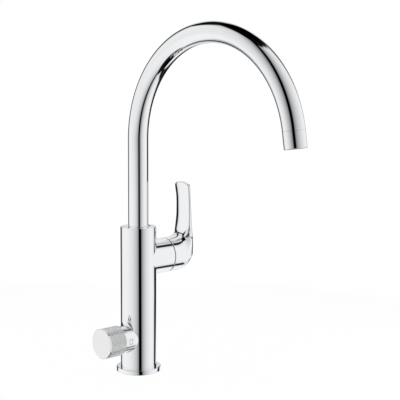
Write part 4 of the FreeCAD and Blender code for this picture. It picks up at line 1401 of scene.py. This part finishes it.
@dataclass
class Studio:
    """White light tent with dark gaps round the tap, a pale floor, and the camera."""

    eye: Tuple[float, float, float] = (-675.8, -805.2, 315.9)
    yaw: float = 46.01
    pitch: float = 5.456
    roll: float = 0.226
    lens: float = 87.431
    shift: Tuple[float, float] = (-0.0139, -0.0622)
    tent_r: float = 490.0
    tent_z: float = 120.0
    door: Gap = Gap(13.6, 8.6, 3.5, 0.985)
    corners: Tuple[Gap, ...] = (
        Gap(-147.0, 19.0, 6.0, 0.975, -8.0, 4.5, 0.3),
        Gap(146.0, 23.0, 6.0, 0.975, -72.0, 12.5, 0.35),
    )
    holes: Tuple[Hole, ...] = (
        Hole(45.0, 80.0, 14.0, 16.0, 0.985),
        Hole(85.0, 76.0, 12.5, 15.5, 0.985),
        Hole(-152.0, 79.0, 10.0, 14.0, 0.975),
        Hole(150.0, 85.0, 6.0, 24.0, 0.6),
        Hole(0.0, -90.0, 24.0, 30.0, 0.985),
        Hole(140.0, -71.0, 16.0, 22.0, 0.985),
    )
    left_white: float = 0.97
    right_white: float = 1.03
    rear_white: float = 0.84
    left_fall: float = 0.98
    right_fall: float = 1.12
    fall_turn: float = 29.0
    fall_turn_high: float = 15.0
    fall_rise: Row = (0.02, 0.45)
    rear_turn: Row = (150.0, 175.0)
    narrow_rise: Row = (0.2, 0.55)
    shade_turn: float = 10.0
    upright: float = 0.27
    sensor: float = 36.0
    floor_size: float = 12.0
    floor_glow: float = 1.03
    floor_white: float = 0.94

    def camera(self) -> None:
        """Make the camera at the photograph's place."""
        data = bpy.data.cameras.new("camera")
        data.sensor_width = self.sensor
        data.lens = self.lens
        data.shift_x, data.shift_y = self.shift
        data.clip_start = 0.01
        data.clip_end = 50.0
        camera = bpy.data.objects.new("camera", data)
        bpy.context.collection.objects.link(camera)
        camera.location = [value * MM for value in self.eye]
        look = -self.axis(0.0, self.pitch)
        roll = Quaternion(UP, math.radians(self.roll))
        camera.rotation_mode = "QUATERNION"
        camera.rotation_quaternion = look.to_track_quat("-Z", "Y") @ roll
        bpy.context.scene.camera = camera

    def sky(self) -> None:
        """Make the world white for the camera and a plain grey for the rest."""
        world = bpy.data.worlds.new("sky")
        bpy.context.scene.world = world
        world.use_nodes = True
        board = Board(world.node_tree)
        seen = board.node("ShaderNodeLightPath", output="Is Camera Ray")
        colour = board.blend(seen, (0.8, 0.8, 0.8), (1.0, 1.0, 1.0))
        sky = board.node("ShaderNodeBackground", None, {"Color": colour, "Strength": 1.0})
        board.node("ShaderNodeOutputWorld", None, {"Surface": sky})

    def axis(self, turn: float, rise: float) -> Vector:
        """Direction from the tap.

        Args:
            turn: angle from the camera to the right.
            rise: angle up.

        Returns:
            The direction, of length 1.
        """
        yaw = math.radians(self.yaw)
        front = Vector((-math.cos(yaw), -math.sin(yaw), 0.0))
        right = Vector((math.sin(yaw), -math.cos(yaw), 0.0))
        level = front * math.cos(math.radians(turn)) + right * math.sin(math.radians(turn))
        return level * math.cos(math.radians(rise)) + UP * math.sin(math.radians(rise))

    def whole_cloth(self, turn: Signal, rise: Signal) -> Signal:
        """Light of the cloth before its gaps and holes, which fades towards the door.

        Args:
            turn: angle from the camera to the right, in degrees.
            rise: upward part of the direction.

        Returns:
            The light at each place.
        """
        door = self.door
        right = turn.step(door.turn - door.half, door.turn + door.half)
        spread = rise.step(*self.fall_rise) * (1 - right) * self.fall_turn_high + self.fall_turn
        fall = right * (self.right_fall - self.left_fall) + self.left_fall
        fade = ((turn - door.turn).size() / spread * -1).exp() * fall
        white = right * (self.right_white - self.left_white) + self.left_white
        rear = 1 - turn.size().step(*self.rear_turn) * (1 - self.rear_white)
        return (white * rear * (1 - fade)).at_least(0.0)

    def cloth(self, board: Board) -> Signal:
        """Light of the tent's cloth, with its gaps and holes.

        Args:
            board: the cloth's board.

        Returns:
            The light at each place.
        """
        centre = (0.0, 0.0, -self.tent_z * MM)
        way = board.node("ShaderNodeVectorMath", {"operation": "ADD"}, {0: board.place(), 1: centre})
        way = board.node("ShaderNodeVectorMath", {"operation": "NORMALIZE"}, {0: way})
        ahead = self.along(board, way, self.axis(0.0, 0.0))
        aside = self.along(board, way, self.axis(90.0, 0.0))
        rise = self.along(board, way, self.axis(0.0, 90.0))
        turn = aside.turn_from(ahead) * (180 / math.pi)
        light = self.whole_cloth(turn, rise)
        for gap in (self.door,) + self.corners:
            middle = (rise.size() - self.upright).at_least(0.0) * gap.lean + gap.turn
            edge = (turn - middle).size() + rise.size().step(*self.narrow_rise) * gap.narrow
            inside = 1 - edge.step(gap.half - gap.soft / 2, gap.half + gap.soft / 2)
            shade = ((edge - gap.half).at_least(0.0) / self.shade_turn * -1).exp() * gap.shade
            light = light * (1 - inside * gap.dark) * (1 - shade)
        for hole in self.holes:
            near = self.along(board, way, self.axis(hole.turn, hole.rise))
            inside = near.step(math.cos(math.radians(hole.outer)), math.cos(math.radians(hole.inner)))
            light = light * (1 - inside * hole.dark)
        return light

    def tent(self) -> None:
        """Put up the tent, which lights the tap and shows in it, but not to the camera."""
        deselect()
        bpy.ops.mesh.primitive_uv_sphere_add(
            segments=96, ring_count=48, radius=self.tent_r * MM, location=(0.0, 0.0, self.tent_z * MM)
        )
        tent = Workpiece(bpy.context.object)
        tent.obj.name = "tent"
        tent.settle()
        material, board = new_material("tent_cloth")
        glow = board.node("ShaderNodeEmission", None, {"Color": self.cloth(board), "Strength": 1.0})
        board.node("ShaderNodeOutputMaterial", None, {"Surface": glow})
        tent.obj.data.materials.append(material)
        tent.obj.visible_camera = False

    @staticmethod
    def along(board: Board, way: Signal, axis: Vector) -> Signal:
        """Part of a direction along an axis."""
        settings = {"operation": "DOT_PRODUCT"}
        return board.node("ShaderNodeVectorMath", settings, {0: way, 1: tuple(axis)}, "Value")

    def floor(self) -> None:
        """Lay a wide pale floor that keeps a faint shadow."""
        deselect()
        bpy.ops.mesh.primitive_plane_add(size=self.floor_size, location=(0.0, 0.0, 0.0))
        plane = bpy.context.object
        plane.name = "floor"
        material, board = new_material("floor")
        grain = board.noise(30.0, 2.0)
        colour = board.blend(grain, (0.9, 0.9, 0.9), (0.88, 0.88, 0.88))
        matt = board.node("ShaderNodeBsdfDiffuse", None, {"Color": colour})
        light = {"Color": (1.0, 1.0, 1.0, 1.0), "Strength": self.floor_glow}
        glow = board.node("ShaderNodeEmission", None, light)
        seen = board.node("ShaderNodeLightPath", output="Is Camera Ray")
        mixed = board.node("ShaderNodeMixShader", None, {0: seen * self.floor_white, 1: matt, 2: glow})
        board.node("ShaderNodeOutputMaterial", None, {"Surface": mixed})
        plane.data.materials.append(material)
        plane.visible_glossy = False

    def build(self) -> None:
        """Set up the studio."""
        bpy.context.scene.view_settings.view_transform = "Standard"
        self.camera()
        self.sky()
        self.tent()
        self.floor()


def main() -> None:
    """Build the tap's looks and the studio."""
    logging.basicConfig(level=logging.INFO, format="%(name)s %(message)s")
    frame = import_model()
    wardrobe = Wardrobe()
    Studio().build()
    InnerParts(wardrobe, frame).dress()
    for assembly in (BaseRing, LowerBody, UpperBody, Spout, Lever, FilterKnob, Marks):
        assembly(wardrobe).build()


if __name__ == "__main__":
    main()
